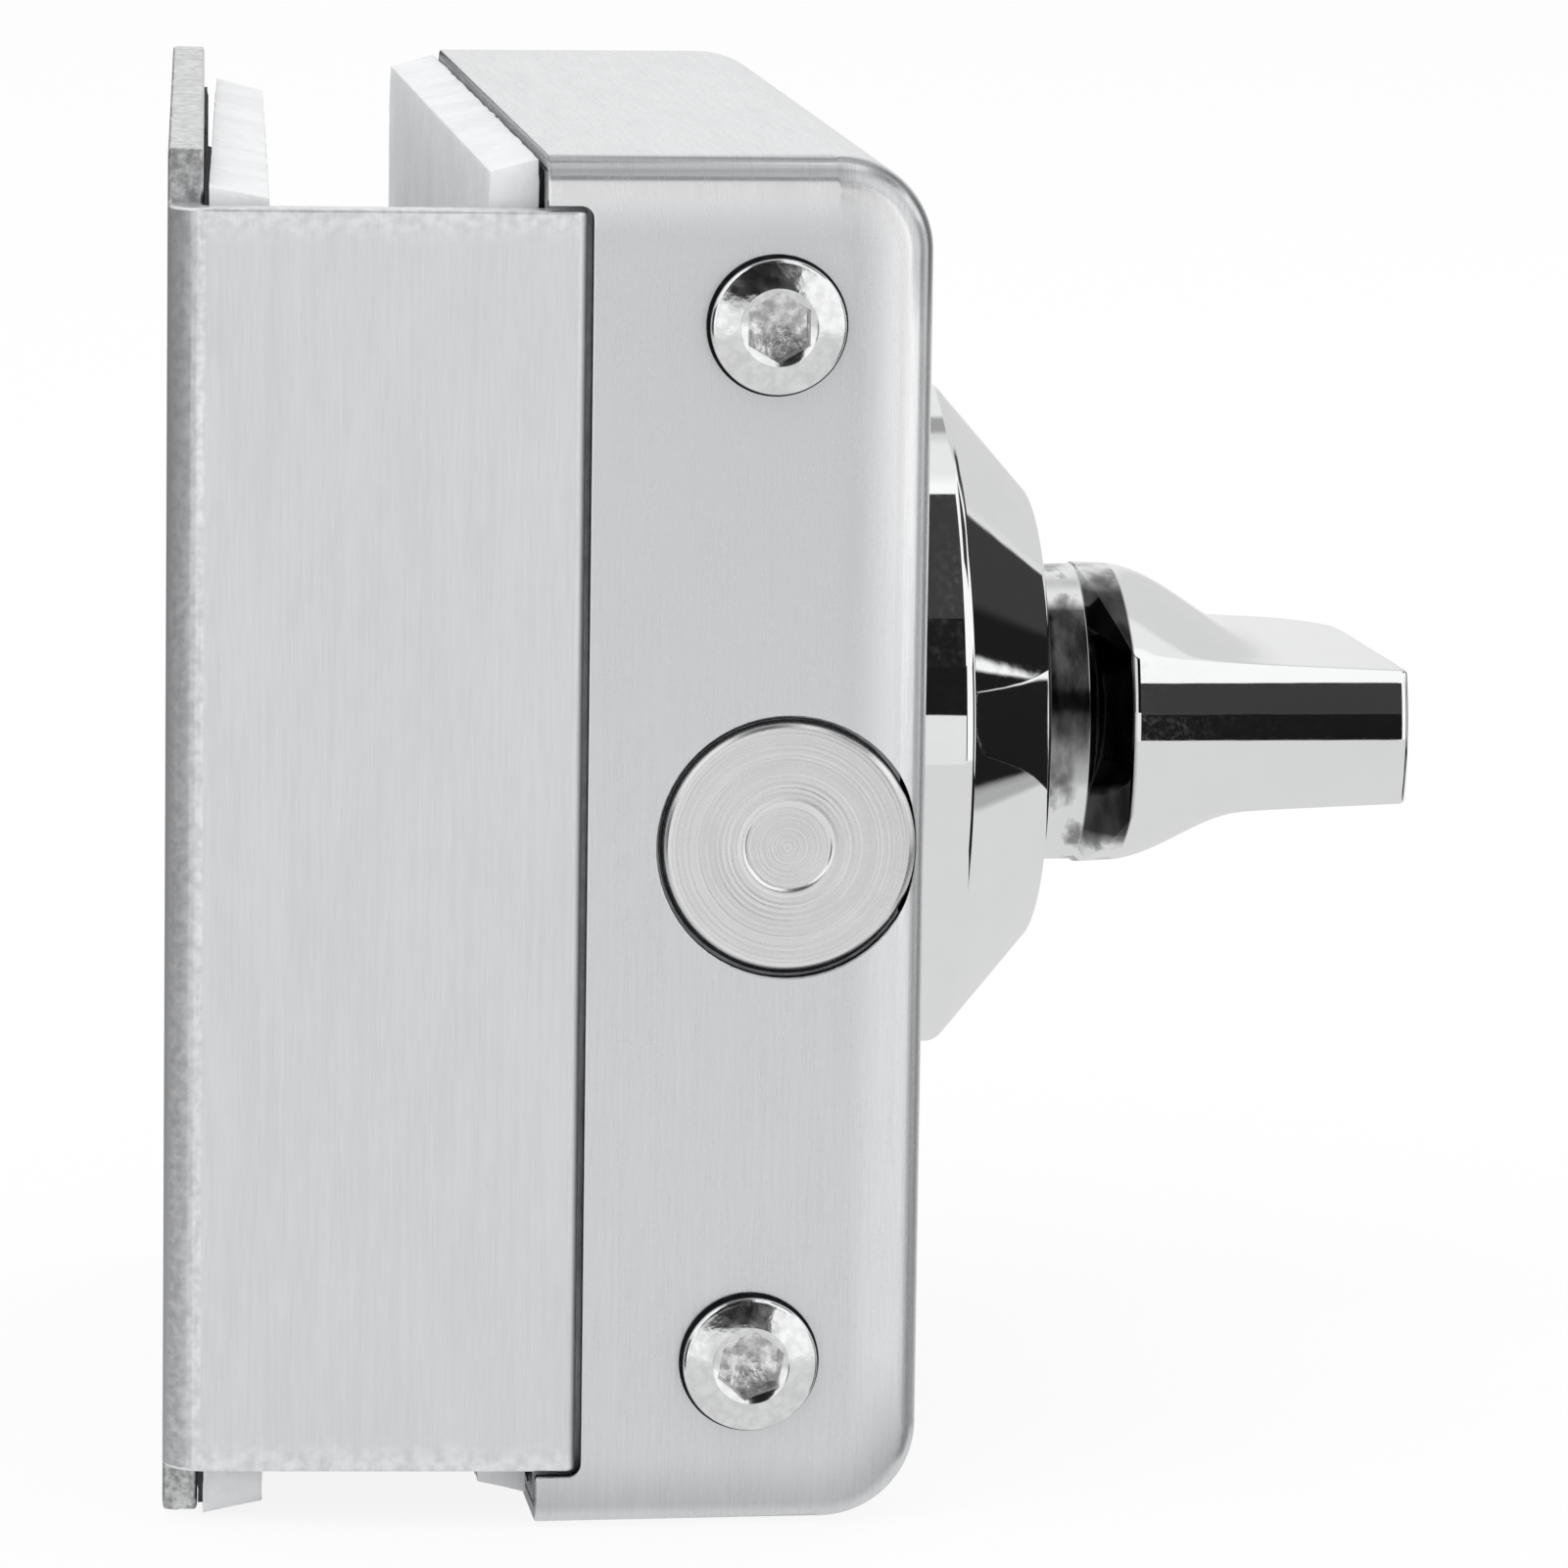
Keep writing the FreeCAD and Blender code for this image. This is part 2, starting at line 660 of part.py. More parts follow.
def make_friction_washer():
    """The washer that drags on the cover and keeps the turn where it is put."""
    inner = stem_radius + fit_gap
    return tube(inner + washer_width, inner, Vec(x_washer, 0, 0), Vec(x_washer + washer_thickness, 0, 0))


def make_retaining_ring():
    """The open ring in the stem's groove, under the cover."""
    inner = stem_radius - ring_groove_depth + seat_gap
    outer = inner + ring_width
    ring = tube(outer, inner, Vec(x_ring, 0, 0), Vec(x_ring + ring_thickness, 0, 0))
    mouth = box(x_ring - 1, x_ring + ring_thickness + 1, -ring_mouth / 2.0, ring_mouth / 2.0, -outer - 1, 0)
    return ring.cut(mouth)


def make_clamp_plate():
    """The bent plate: a face against the glass and a flange round its edge."""
    y_plate = y_near + clamp_bend_radius + bend_relief
    face = box(x_clamp_outside, x_clamp_inside, y_plate, y_far, -z_top, z_top)
    angle = prism([
        (x_clamp_outside, y_near),
        (x_flange_tip, y_near),
        (x_flange_tip, y_flange_inside),
        (x_clamp_inside, y_flange_inside),
        (x_clamp_inside, y_plate),
        (x_clamp_outside, y_plate),
    ], -z_flange, z_flange)
    small = 0.01

    def upright(x, y):
        return lambda b: abs(b.XMin - x) + abs(b.YMin - y) < small and b.XLength + b.YLength < small

    angle = angle.makeFillet(clamp_bend_radius, edges_where(angle, upright(x_clamp_outside, y_near)))
    inner_bend = edges_where(angle, upright(x_clamp_inside, y_flange_inside))
    angle = angle.makeFillet(clamp_inner_bend_radius, inner_bend)
    angle = angle.makeFillet(flange_tip_radius, edges_where(angle, upright(x_flange_tip, y_near)))
    return tipped(union(face, angle))


def gasket_pad(x_back, x_glass, z_low, z_high):
    """A pad with drafted edges, wide at its back and narrower towards the glass."""
    corners_back = [
        Vec(x_back, y_gasket, z_low),
        Vec(x_back, y_far, z_low),
        Vec(x_back, y_far, z_high),
        Vec(x_back, y_gasket, z_high),
    ]
    corners_glass = [
        Vec(x_glass, y_gasket, z_low + gasket_draft),
        Vec(x_glass, y_far - gasket_draft, z_low + gasket_draft),
        Vec(x_glass, y_far - gasket_draft, z_high - gasket_draft),
        Vec(x_glass, y_gasket, z_high - gasket_draft),
    ]
    back = Part.makePolygon(corners_back + corners_back[:1])
    glass = Part.makePolygon(corners_glass + corners_glass[:1])
    return Part.makeLoft([back, glass], True, True)


def tape(x0, x1, z_low, z_high):
    """A sheet of tape that stays a little inside its gasket's edges."""
    return box(x0, x1, y_gasket + tape_inset, y_far - tape_inset, z_low + tape_inset, z_high - tape_inset)


def inner_gasket_span():
    """The lowest and highest line of the inner gasket."""
    half = z_top - inner_gasket_trim / 2.0
    return inner_gasket_rise - half, inner_gasket_rise + half


def outer_gasket_span():
    """The lowest and highest line of the outer gasket."""
    return -z_top, z_top - outer_gasket_trim


def clamp_hole(radius, x0, x1):
    """The clamp screws' holes across a layer."""
    holes = []
    for point in clamp_screw_points():
        holes.append(rod(radius, Vec(x0 - 1, point.y, point.z), Vec(x1 + 1, point.y, point.z)))
    return holes


def make_inner_gasket():
    """The pad between the base plate and the glass."""
    pad = gasket_pad(inner_gasket_thickness, 0.0, *inner_gasket_span())
    hole = clamp_screw["thread"] / 2.0 + clamp_hole_gap
    return difference(pad, *clamp_hole(hole, 0.0, inner_gasket_thickness))


def make_inner_tape():
    """The tape that holds the inner gasket to the base plate."""
    layer = tape(inner_gasket_thickness, x_rim, *inner_gasket_span())
    hole = clamp_screw["thread"] / 2.0 + clamp_hole_gap
    return difference(layer, *clamp_hole(hole, inner_gasket_thickness, x_rim))


def make_outer_gasket():
    """The pad between the clamp plate and the glass."""
    pad = gasket_pad(x_outer_tape, x_outer_gasket, *outer_gasket_span())
    hole = clamp_screw["thread"] / 2.0 + sleeve_wall + part_gap
    return tipped(difference(pad, *clamp_hole(hole, x_outer_tape, x_outer_gasket)))


def make_outer_tape():
    """The thicker tape that holds the outer gasket to the clamp plate."""
    layer = tape(x_clamp_inside, x_outer_tape, *outer_gasket_span())
    hole = clamp_screw["thread"] / 2.0 + sleeve_wall + part_gap
    return tipped(difference(layer, *clamp_hole(hole, x_clamp_inside, x_outer_tape)))


def make_clamp_sleeves():
    """The threaded sleeves on the inside of the clamp plate."""
    sleeves = []
    bore = clamp_screw["thread"] / 2.0 + seat_gap
    for point in clamp_screw_points():
        start = Vec(x_clamp_inside, point.y, point.z)
        sleeves.append(tube(bore + sleeve_wall, bore, start, start + ALONG_X * sleeve_length))
    return tipped(Part.makeCompound(sleeves))


def make_clamp_screws():
    """The screws that draw the clamp plate to the base plate."""
    screw = flat_screw(clamp_screw)
    return tipped(Part.makeCompound([placed(screw, point, ALONG_X) for point in clamp_screw_points()]))


def screw_group(screw, points, outward):
    """Copies of a screw at several points, kept as separate solids."""
    return Part.makeCompound([placed(screw, point, outward) for point in points])


def save(name, shape):
    """Write one sub-part and say what it is."""
    shape.exportStep("parts/" + name + ".step")
    valid = "ok" if shape.isValid() else "BROKEN"
    print(name, valid, len(shape.Solids), "solids", round(shape.Volume, 1), "mm3")


def main():
    """Build every sub-part."""
    os.makedirs("parts", exist_ok=True)
    save("cover", make_cover())
    save("base_plate", make_base_plate())
    save("cover_blocks", make_cover_blocks())
    save("bolt_housing", make_bolt_housing())
    save("bolt", make_bolt())
    save("drive_pinion", make_pinion())
    save("pinion_bridge", make_bridge())
    save("spindle", make_spindle())
    save("thumb_turn", make_thumb_turn())
    save("turn_set_screw", make_set_screw())
    save("rose", make_rose())
    save("turn_bush", make_turn_bush())
    save("friction_washer", make_friction_washer())
    save("retaining_ring", make_retaining_ring())
    save("clamp_plate", make_clamp_plate())
    save("inner_gasket", make_inner_gasket())
    save("inner_gasket_tape", make_inner_tape())
    save("outer_gasket", make_outer_gasket())
    save("outer_gasket_tape", make_outer_tape())
    save("clamp_sleeves", make_clamp_sleeves())
    save("clamp_screws", make_clamp_screws())
    save("cover_screws", screw_group(flat_screw(cover_screw), cover_screw_points(), -ALONG_Y))
    save("block_screws", screw_group(sunk_screw(plate_screw), block_screw_points(), -ALONG_X))
    save("housing_screws", screw_group(sunk_screw(plate_screw), housing_screw_points(), -ALONG_X))
    save("bridge_screws", screw_group(flat_screw(bridge_screw), bridge_screw_points(), ALONG_X))
    save("rose_screws", screw_group(flat_screw(rose_screw), rose_screw_points(), -ALONG_X))
    print("bolt throw", round(bolt_throw, 2), "mm for", turn_range_deg, "degrees of turn")


main()
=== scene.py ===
"""Looks of a clamp-on glass door lock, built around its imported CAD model.

Sizes are written in millimetres and become metres in the meshes.
X runs across the glass, Y along the door, Z is up. The bolt leaves towards -Y.
"""

import json
import logging
import math
from dataclasses import dataclass, field
from enum import Enum
from typing import Callable, Iterable, Sequence

import bmesh
import bpy
from mathutils import Matrix, Vector, noise

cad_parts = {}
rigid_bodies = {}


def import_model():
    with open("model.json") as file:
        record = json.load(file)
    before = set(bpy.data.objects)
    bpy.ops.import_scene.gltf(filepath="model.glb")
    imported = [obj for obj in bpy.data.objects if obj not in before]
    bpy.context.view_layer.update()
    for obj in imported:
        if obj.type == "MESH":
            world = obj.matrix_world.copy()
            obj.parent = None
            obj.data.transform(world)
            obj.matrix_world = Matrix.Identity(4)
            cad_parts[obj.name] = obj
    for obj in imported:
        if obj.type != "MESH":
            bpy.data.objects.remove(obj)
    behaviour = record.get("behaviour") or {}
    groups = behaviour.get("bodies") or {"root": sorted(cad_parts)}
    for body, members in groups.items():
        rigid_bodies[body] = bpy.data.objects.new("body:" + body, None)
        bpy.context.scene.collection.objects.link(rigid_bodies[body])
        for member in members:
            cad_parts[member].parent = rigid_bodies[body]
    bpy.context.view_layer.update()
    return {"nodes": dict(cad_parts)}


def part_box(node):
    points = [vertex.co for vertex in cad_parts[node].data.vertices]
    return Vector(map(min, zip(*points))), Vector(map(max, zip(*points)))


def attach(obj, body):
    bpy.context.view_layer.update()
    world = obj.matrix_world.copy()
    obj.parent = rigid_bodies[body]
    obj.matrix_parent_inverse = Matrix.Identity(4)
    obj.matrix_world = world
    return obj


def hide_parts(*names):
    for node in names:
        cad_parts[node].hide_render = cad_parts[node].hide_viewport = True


LOG = logging.getLogger("glass_door_lock")
MM = 0.001
PHOTO_SIDE = 1601
CREASE = 30.0
FLAT_BEND = 0.3
FACE_WEIGHT = 60
MERGE_GAP = 1e-6
FINE_GAP = 1e-7
WEAR_NOISE = (0.8, 2.0, 3)

Colour = tuple[float, float, float]
Triple = tuple[float, float, float]
Place = tuple[float, float]
Node = bpy.types.Node
Socket = bpy.types.NodeSocket
Piece = bpy.types.Object


class Body(Enum):
    """The rigid bodies of the lock."""

    CASE = "case"
    TURN = "turn"
    BOLT = "bolt"
    CLAMP = "clamp"


class Axis(Enum):
    """A direction that a turned piece points along, as its outward unit vector."""

    ACROSS = (1.0, 0.0, 0.0)
    FORWARD = (0.0, -1.0, 0.0)


class Pole(Enum):
    """The axis that a card's angles are measured about."""

    UP = "up"
    ACROSS = "across"


# Shader writing


class NodePen:
    """Adds nodes and links to one node tree."""

    VALUE_MIX = (0, 2, 3)
    COLOUR_MIX = (0, 6, 7)
    COLOUR_RESULT = 2

    def __init__(self, tree: bpy.types.NodeTree) -> None:
        """Keep the tree and clear what it starts with."""
        self.tree = tree
        tree.nodes.clear()

    def node(self, kind: str, **settings: object) -> Node:
        """Add a node.

        Args:
            kind: The node's type name.
            settings: Properties to set on it.

        Returns:
            The new node.
        """
        made = self.tree.nodes.new(kind)
        for name, value in settings.items():
            setattr(made, name, value)
        return made

    def feed(self, target: Socket, source: object) -> None:
        """Link a socket into another one, or set it when the source is a plain value."""
        if isinstance(source, bpy.types.NodeSocket):
            self.tree.links.new(source, target)
        else:
            target.default_value = source

    def math(self, operation: str, first: object, second: object = 0.0, third: object = 0.0) -> Socket:
        """Add a Math node.

        Args:
            operation: The operation's name.
            first: First value or socket.
            second: Second value or socket.
            third: Third value or socket.

        Returns:
            The result socket.
        """
        made = self.node("ShaderNodeMath", operation=operation)
        for socket, source in zip(made.inputs, (first, second, third)):
            self.feed(socket, source)
        return made.outputs[0]

    def chained(self, operation: str, parts: Iterable[object]) -> Socket:
        """Join values and sockets by one operation after another.

        Args:
            operation: The operation's name.
            parts: The values and sockets, in order.

        Returns:
            The result socket.
        """
        first, *others = parts
        for other in others:
            first = self.math(operation, first, other)
        return first

    def product(self, *parts: object) -> Socket:
        """Multiply values and sockets."""
        return self.chained("MULTIPLY", parts)

    def weighted(self, parts: Iterable[Socket], shares: Iterable[float]) -> Socket:
        """Add sockets, each by its share."""
        return self.chained("ADD", [self.product(part, share) for part, share in zip(parts, shares)])

    def distance(self, side: Socket, rise: Socket) -> Socket:
        """The length of a step from its two parts."""
        square = self.math("ADD", self.product(side, side), self.product(rise, rise))
        return self.math("SQRT", square)

    def past(self, value: Socket, start: float) -> Socket:
        """How far a value lies past a place in millimetres, and 0 before it."""
        return self.math("MAXIMUM", self.math("SUBTRACT", value, start * MM), 0.0)

    def between(self, value: object, low: float, high: float, out_low: float, out_high: float) -> Socket:
        """Map a value smoothly from one range to another.

        Args:
            value: The socket to map.
            low: Start of its range.
            high: End of its range.
            out_low: Result at the start.
            out_high: Result at the end.

        Returns:
            The mapped socket.
        """
        made = self.node("ShaderNodeMapRange", interpolation_type="SMOOTHSTEP")
        for socket, source in zip(made.inputs, (value, low, high, out_low, out_high)):
            self.feed(socket, source)
        return made.outputs[0]

    def rise(self, value: Socket, start: float, end: float) -> Socket:
        """Go smoothly from 0 to 1 between two places in millimetres."""
        return self.between(value, start * MM, end * MM, 0.0, 1.0)

    def fall(self, value: Socket, start: float, end: float) -> Socket:
        """Go smoothly from 1 to 0 between two places in millimetres."""
        return self.between(value, start * MM, end * MM, 1.0, 0.0)

    def noise(self, vector: Socket, scale: float, detail: float, seed: float) -> Socket:
        """Add a four-dimensional noise, whose fourth value is the seed.

        Args:
            vector: Where it is read.
            scale: How fine it is, in cells for each metre.
            detail: Octaves.
            seed: A fixed number that sets this noise apart.

        Returns:
            The noise value, around 0.5.
        """
        made = self.node("ShaderNodeTexNoise", noise_dimensions="4D")
        for name, source in (("Vector", vector), ("W", seed), ("Scale", scale), ("Detail", detail)):
            self.feed(made.inputs[name], source)
        return made.outputs[0]

    def stretched(self, vector: Socket, scale: Triple) -> Socket:
        """Scale coordinates with a Mapping node.

        Args:
            vector: The coordinates.
            scale: The factor along each axis.

        Returns:
            The scaled coordinates.
        """
        made = self.node("ShaderNodeMapping", vector_type="POINT")
        self.feed(made.inputs["Vector"], vector)
        self.feed(made.inputs["Scale"], scale)
        return made.outputs[0]

    def graded(self, value: Socket, low: float, high: float, stops: Sequence[Place]) -> Socket:
        """Read a value off a ramp.

        Args:
            value: The socket to read by.
            low: Its value at the ramp's start.
            high: Its value at the ramp's end.
            stops: Values at which the ramp is given, with the ramp's level there.

        Returns:
            The level.
        """
        place = self.node("ShaderNodeMapRange")
        for socket, source in zip(place.inputs, (value, low, high, 0.0, 1.0)):
            self.feed(socket, source)
        made = self.node("ShaderNodeValToRGB")
        self.feed(made.inputs[0], place.outputs[0])
        points = made.color_ramp.elements
        while len(points) < len(stops):
            points.new(1.0)
        for point, (at, level) in zip(points, stops):
            point.position = (at - low) / (high - low)
            point.color = (level, level, level, 1.0)
        return made.outputs[0]

    def split(self, vector: Socket) -> list[Socket]:
        """Split a vector into its three parts."""
        made = self.node("ShaderNodeSeparateXYZ")
        self.feed(made.inputs[0], vector)
        return list(made.outputs)

    def joined(self, *parts: object) -> Socket:
        """Join up to three parts to a vector."""
        made = self.node("ShaderNodeCombineXYZ")
        for socket, source in zip(made.inputs, parts):
            self.feed(socket, source)
        return made.outputs[0]

    def blend(self, factor: Socket, first: object, second: object) -> Socket:
        """Go from one value to another by a factor."""
        made = self.node("ShaderNodeMix", data_type="FLOAT")
        for place, source in zip(self.VALUE_MIX, (factor, first, second)):
            self.feed(made.inputs[place], source)
        return made.outputs[0]

    def tint(self, factor: object, first: object, second: object, **settings: object) -> Socket:
        """Mix two colours by a factor.

        Args:
            factor: The share of the second colour.
            first: A colour or a socket.
            second: A colour or a socket.
            settings: Properties to set on the Mix node.

        Returns:
            The colour socket.
        """
        made = self.node("ShaderNodeMix", data_type="RGBA", **settings)
        for place, source in zip(self.COLOUR_MIX, (factor, first, second)):
            self.feed(made.inputs[place], (*source, 1.0) if isinstance(source, tuple) else source)
        return made.outputs[self.COLOUR_RESULT]


def shaded(colour: Colour, amount: float) -> Colour:
    """A colour made lighter or darker by a share of itself."""
    return tuple(max(0.0, min(1.0, part * (1.0 + amount))) for part in colour)


@dataclass(frozen=True)
class Finish:
    """What every finish has: a name, a colour and how rough it is."""

    name: str
    colour: Colour
    roughness: float

    def start(self) -> tuple[bpy.types.Material, NodePen, Node, Socket]:
        """Start the material.

        Returns:
            The material, its pen, its shader node and its object coordinates.
        """
        material = bpy.data.materials.new(self.name)
        material.use_nodes = True
        material.diffuse_color = (*self.colour, 1.0)
        pen = NodePen(material.node_tree)
        shader = pen.node("ShaderNodeBsdfPrincipled")
        output = pen.node("ShaderNodeOutputMaterial")
        pen.feed(output.inputs["Surface"], shader.outputs[0])
        where = pen.node("ShaderNodeTexCoord").outputs["Object"]
        return material, pen, shader, where

    def varied(self, pen: NodePen, pattern: Socket, darker: float, lighter: float) -> Socket:
        """The colour, which follows a pattern from darker to lighter by shares of itself."""
        return pen.tint(pattern, shaded(self.colour, -darker), shaded(self.colour, lighter))

    def dulled(self, pen: NodePen, shader: Node, pattern: Socket, valleys: float, peaks: float) -> None:
        """Let the roughness follow a pattern.

        Args:
            pen: The material's pen.
            shader: Its shader node.
            pattern: A noise value around 0.5.
            valleys: What is added where the pattern is low.
            peaks: What is added where it is high.
        """
        rough = pen.between(pattern, 0.3, 0.7, self.roughness + valleys, self.roughness + peaks)
        pen.feed(shader.inputs["Roughness"], rough)

    def relief(self, pen: NodePen, shader: Node, height: Socket, depth: float) -> None:
        """Give the surface a fine relief.

        Args:
            pen: The material's pen.
            shader: Its shader node.
            height: The height pattern.
            depth: Its depth in millimetres.
        """
        bump = pen.node("ShaderNodeBump")
        pen.feed(bump.inputs["Strength"], 1.0)
        pen.feed(bump.inputs["Distance"], depth * MM)
        pen.feed(bump.inputs["Height"], height)
        pen.feed(shader.inputs["Normal"], bump.outputs[0])

    def material(self) -> bpy.types.Material:
        """Build the material; each finish says how."""
        raise NotImplementedError


@dataclass(frozen=True)
class BrushedSteel(Finish):
    """Satin stainless sheet with a brushed grain.

    Each grain layer has a fineness and how wide it is for its length.
    The rim is a band inside the end face's rounded edge that carries a painted highlight, lighter towards the
    top and weaker low on the right side, with painted dark reflection lines along its top. Worked places are
    the flange's bend and its sheared ends, made lighter and dented: press marks, and also a painted
    highlight. Their places are in millimetres.
    """

    hairs_per_mm: float = 11.0
    grains: tuple[Place, ...] = ((1.0, 0.05), (0.4, 0.03), (0.045, 0.3))
    grain_way: Triple = (1.0, 0.15, 0.0)
    side_facing: Place = (0.55, 0.85)
    tone_shares: Triple = (0.45, 0.35, 0.2)
    tone_range: Place = (0.32, 0.68)
    contrast: float = 0.04
    spread: float = 0.75
    metal: float = 0.8
    uneven: float = 0.05
    relief_shares: Place = (0.6, 0.4)
    relief_depth: float = 0.0025
    seed: float = 0.0
    corner: Triple = (0.0, 0.0, 0.0)
    rim_highlight: float = 0.0
    rim_begins: Place = (0.5, 1.3)
    rim_ends: Place = (1.6, 5.2)
    rim_bottom_shade: float = -0.7
    right_side_top: float = 5.0
    right_side_shade: float = 0.7
    dark_line_strength: float = 0.36
    line_core: float = 0.4
    dark_reflection_lines: tuple[Place, ...] = ((0.04, 0.5), (0.6, 1.7))
    press_marks_and_highlight: float = 0.0
    bend_end: float = 0.0
    bend_soft: float = 0.25
    cut_end: float = 0.0
    cut_reach: float = 2.6
    flange_back: float = 0.0
    flange_soft: float = 0.8
    dents_per_metre: float = 1500.0
    dent_range: tuple[float, float, float, float] = (0.3, 0.7, -1.0, 4.0)
    dent_relief: float = 9.0

    def rim(self, pen: NodePen, across: Socket, rise: Socket) -> Socket:
        """The painted highlight band inside the end face's edge, and the painted dark reflection lines along
        its top.

        Args:
            pen: The material's pen.
            across: The place across the glass.
            rise: The height.

        Returns:
            What the painted highlight band and dark lines add to the colour.
        """
        start_x, start_z, radius = self.corner
        low, high = start_z - radius, start_z + radius
        side = pen.past(across, start_x)
        over = pen.past(pen.math("ABSOLUTE", rise), start_z)
        inset = pen.math("SUBTRACT", radius * MM, pen.distance(side, over))
        begins = pen.rise(inset, *self.rim_begins)
        ends = pen.fall(inset, *self.rim_ends)
        # Painted light: the highlight band is lighter towards the top and darker towards the bottom.
        upper = pen.between(rise, -high * MM, -low * MM, self.rim_bottom_shade, 1.0)
        # Painted shade: the band fades low on the right side.
        right = pen.rise(side, 0.0, radius)
        below = pen.between(rise, self.right_side_top * MM, low * MM, self.right_side_shade, 0.0)
        upper = pen.math("SUBTRACT", upper, pen.product(right, below))
        band = pen.product(begins, ends, upper, self.rim_highlight)
        # Painted dark reflection lines along the top edge, stronger towards the top.
        pressed = pen.between(rise, low * MM, start_z * MM, 0.0, self.dark_line_strength)
        for first, last in self.dark_reflection_lines:
            middle, half = (first + last) / 2.0, (last - first) / 2.0
            off = pen.math("ABSOLUTE", pen.math("SUBTRACT", inset, middle * MM))
            line = pen.product(pen.fall(off, self.line_core * half, half), pressed)
            band = pen.math("SUBTRACT", band, line)
        return band

    def worked(self, pen: NodePen, place: Sequence[Socket]) -> Socket:
        """The flange's bend and sheared ends, where the press has marked them and a painted highlight
        lightens them.

        Args:
            pen: The material's pen.
            place: The parts of the object coordinates.

        Returns:
            The share of the press marks and the painted highlight.
        """
        across, along, rise = place
        bend = pen.fall(across, self.bend_end - self.bend_soft, self.bend_end)
        cut = pen.rise(pen.math("ABSOLUTE", rise), self.cut_end - self.cut_reach, self.cut_end)
        flange = pen.fall(along, self.flange_back - self.flange_soft, self.flange_back)
        return pen.product(flange, pen.math("MINIMUM", pen.math("ADD", bend, cut), 1.0))

    def grain(self, pen: NodePen, where: Socket, side_on: Socket, fineness: float, width: float) -> Socket:
        """One layer of the grain, which runs along X, or along Y on faces that look sideways.

        Args:
            pen: The material's pen.
            where: The object coordinates.
            side_on: The share by which a face looks sideways.
            fineness: The layer's fineness.
            width: How wide its hairs are for their length.

        Returns:
            The layer's value, around 0.5.
        """
        cells = self.hairs_per_mm * fineness / MM
        ways = ((1.0, width, width), (width, 1.0, width))
        layers = [pen.noise(pen.stretched(where, way), cells, 3.0, self.seed + fineness) for way in ways]
        return pen.blend(side_on, *layers)

    def material(self) -> bpy.types.Material:
        """Build the grain, its tone and its relief.

        Returns:
            The finished material.
        """
        material, pen, shader, where = self.start()
        facing = pen.split(pen.node("ShaderNodeNewGeometry").outputs["Normal"])
        side_on = pen.between(pen.math("ABSOLUTE", facing[0]), *self.side_facing, 0.0, 1.0)
        hairs, strands, clouds = (self.grain(pen, where, side_on, *layer) for layer in self.grains)
        tone = pen.weighted((hairs, strands, clouds), self.tone_shares)
        colour = self.varied(pen, pen.between(tone, *self.tone_range, 0.0, 1.0), self.contrast, self.contrast)
        place = pen.split(where)
        height = pen.weighted((hairs, strands), self.relief_shares)
        lift = None
        # Painted highlight band and painted dark reflection lines inside the end face's edge.
        if self.rim_highlight > 0.0:
            lift = self.rim(pen, place[0], place[2])
        # Dented press marks on the bend and sheared ends, made lighter as a painted highlight too.
        if self.press_marks_and_highlight > 0.0:
            marked = self.worked(pen, place)
            dents = pen.noise(where, self.dents_per_metre, 2.0, self.seed + 4.0)
            lift = pen.product(marked, self.press_marks_and_highlight, pen.between(dents, *self.dent_range))
            height = pen.math("ADD", height, pen.product(marked, dents, self.dent_relief))
        if lift is not None:
            colour = pen.tint(1.0, colour, lift, blend_type="ADD", clamp_result=True)
        pen.feed(shader.inputs["Base Color"], colour)
        self.dulled(pen, shader, tone, self.uneven, -self.uneven)
        shader.inputs["Metallic"].default_value = self.metal
        shader.inputs["Anisotropic"].default_value = self.spread
        pen.feed(shader.inputs["Tangent"], pen.joined(*self.grain_way))
        self.relief(pen, shader, height, self.relief_depth)
        return material


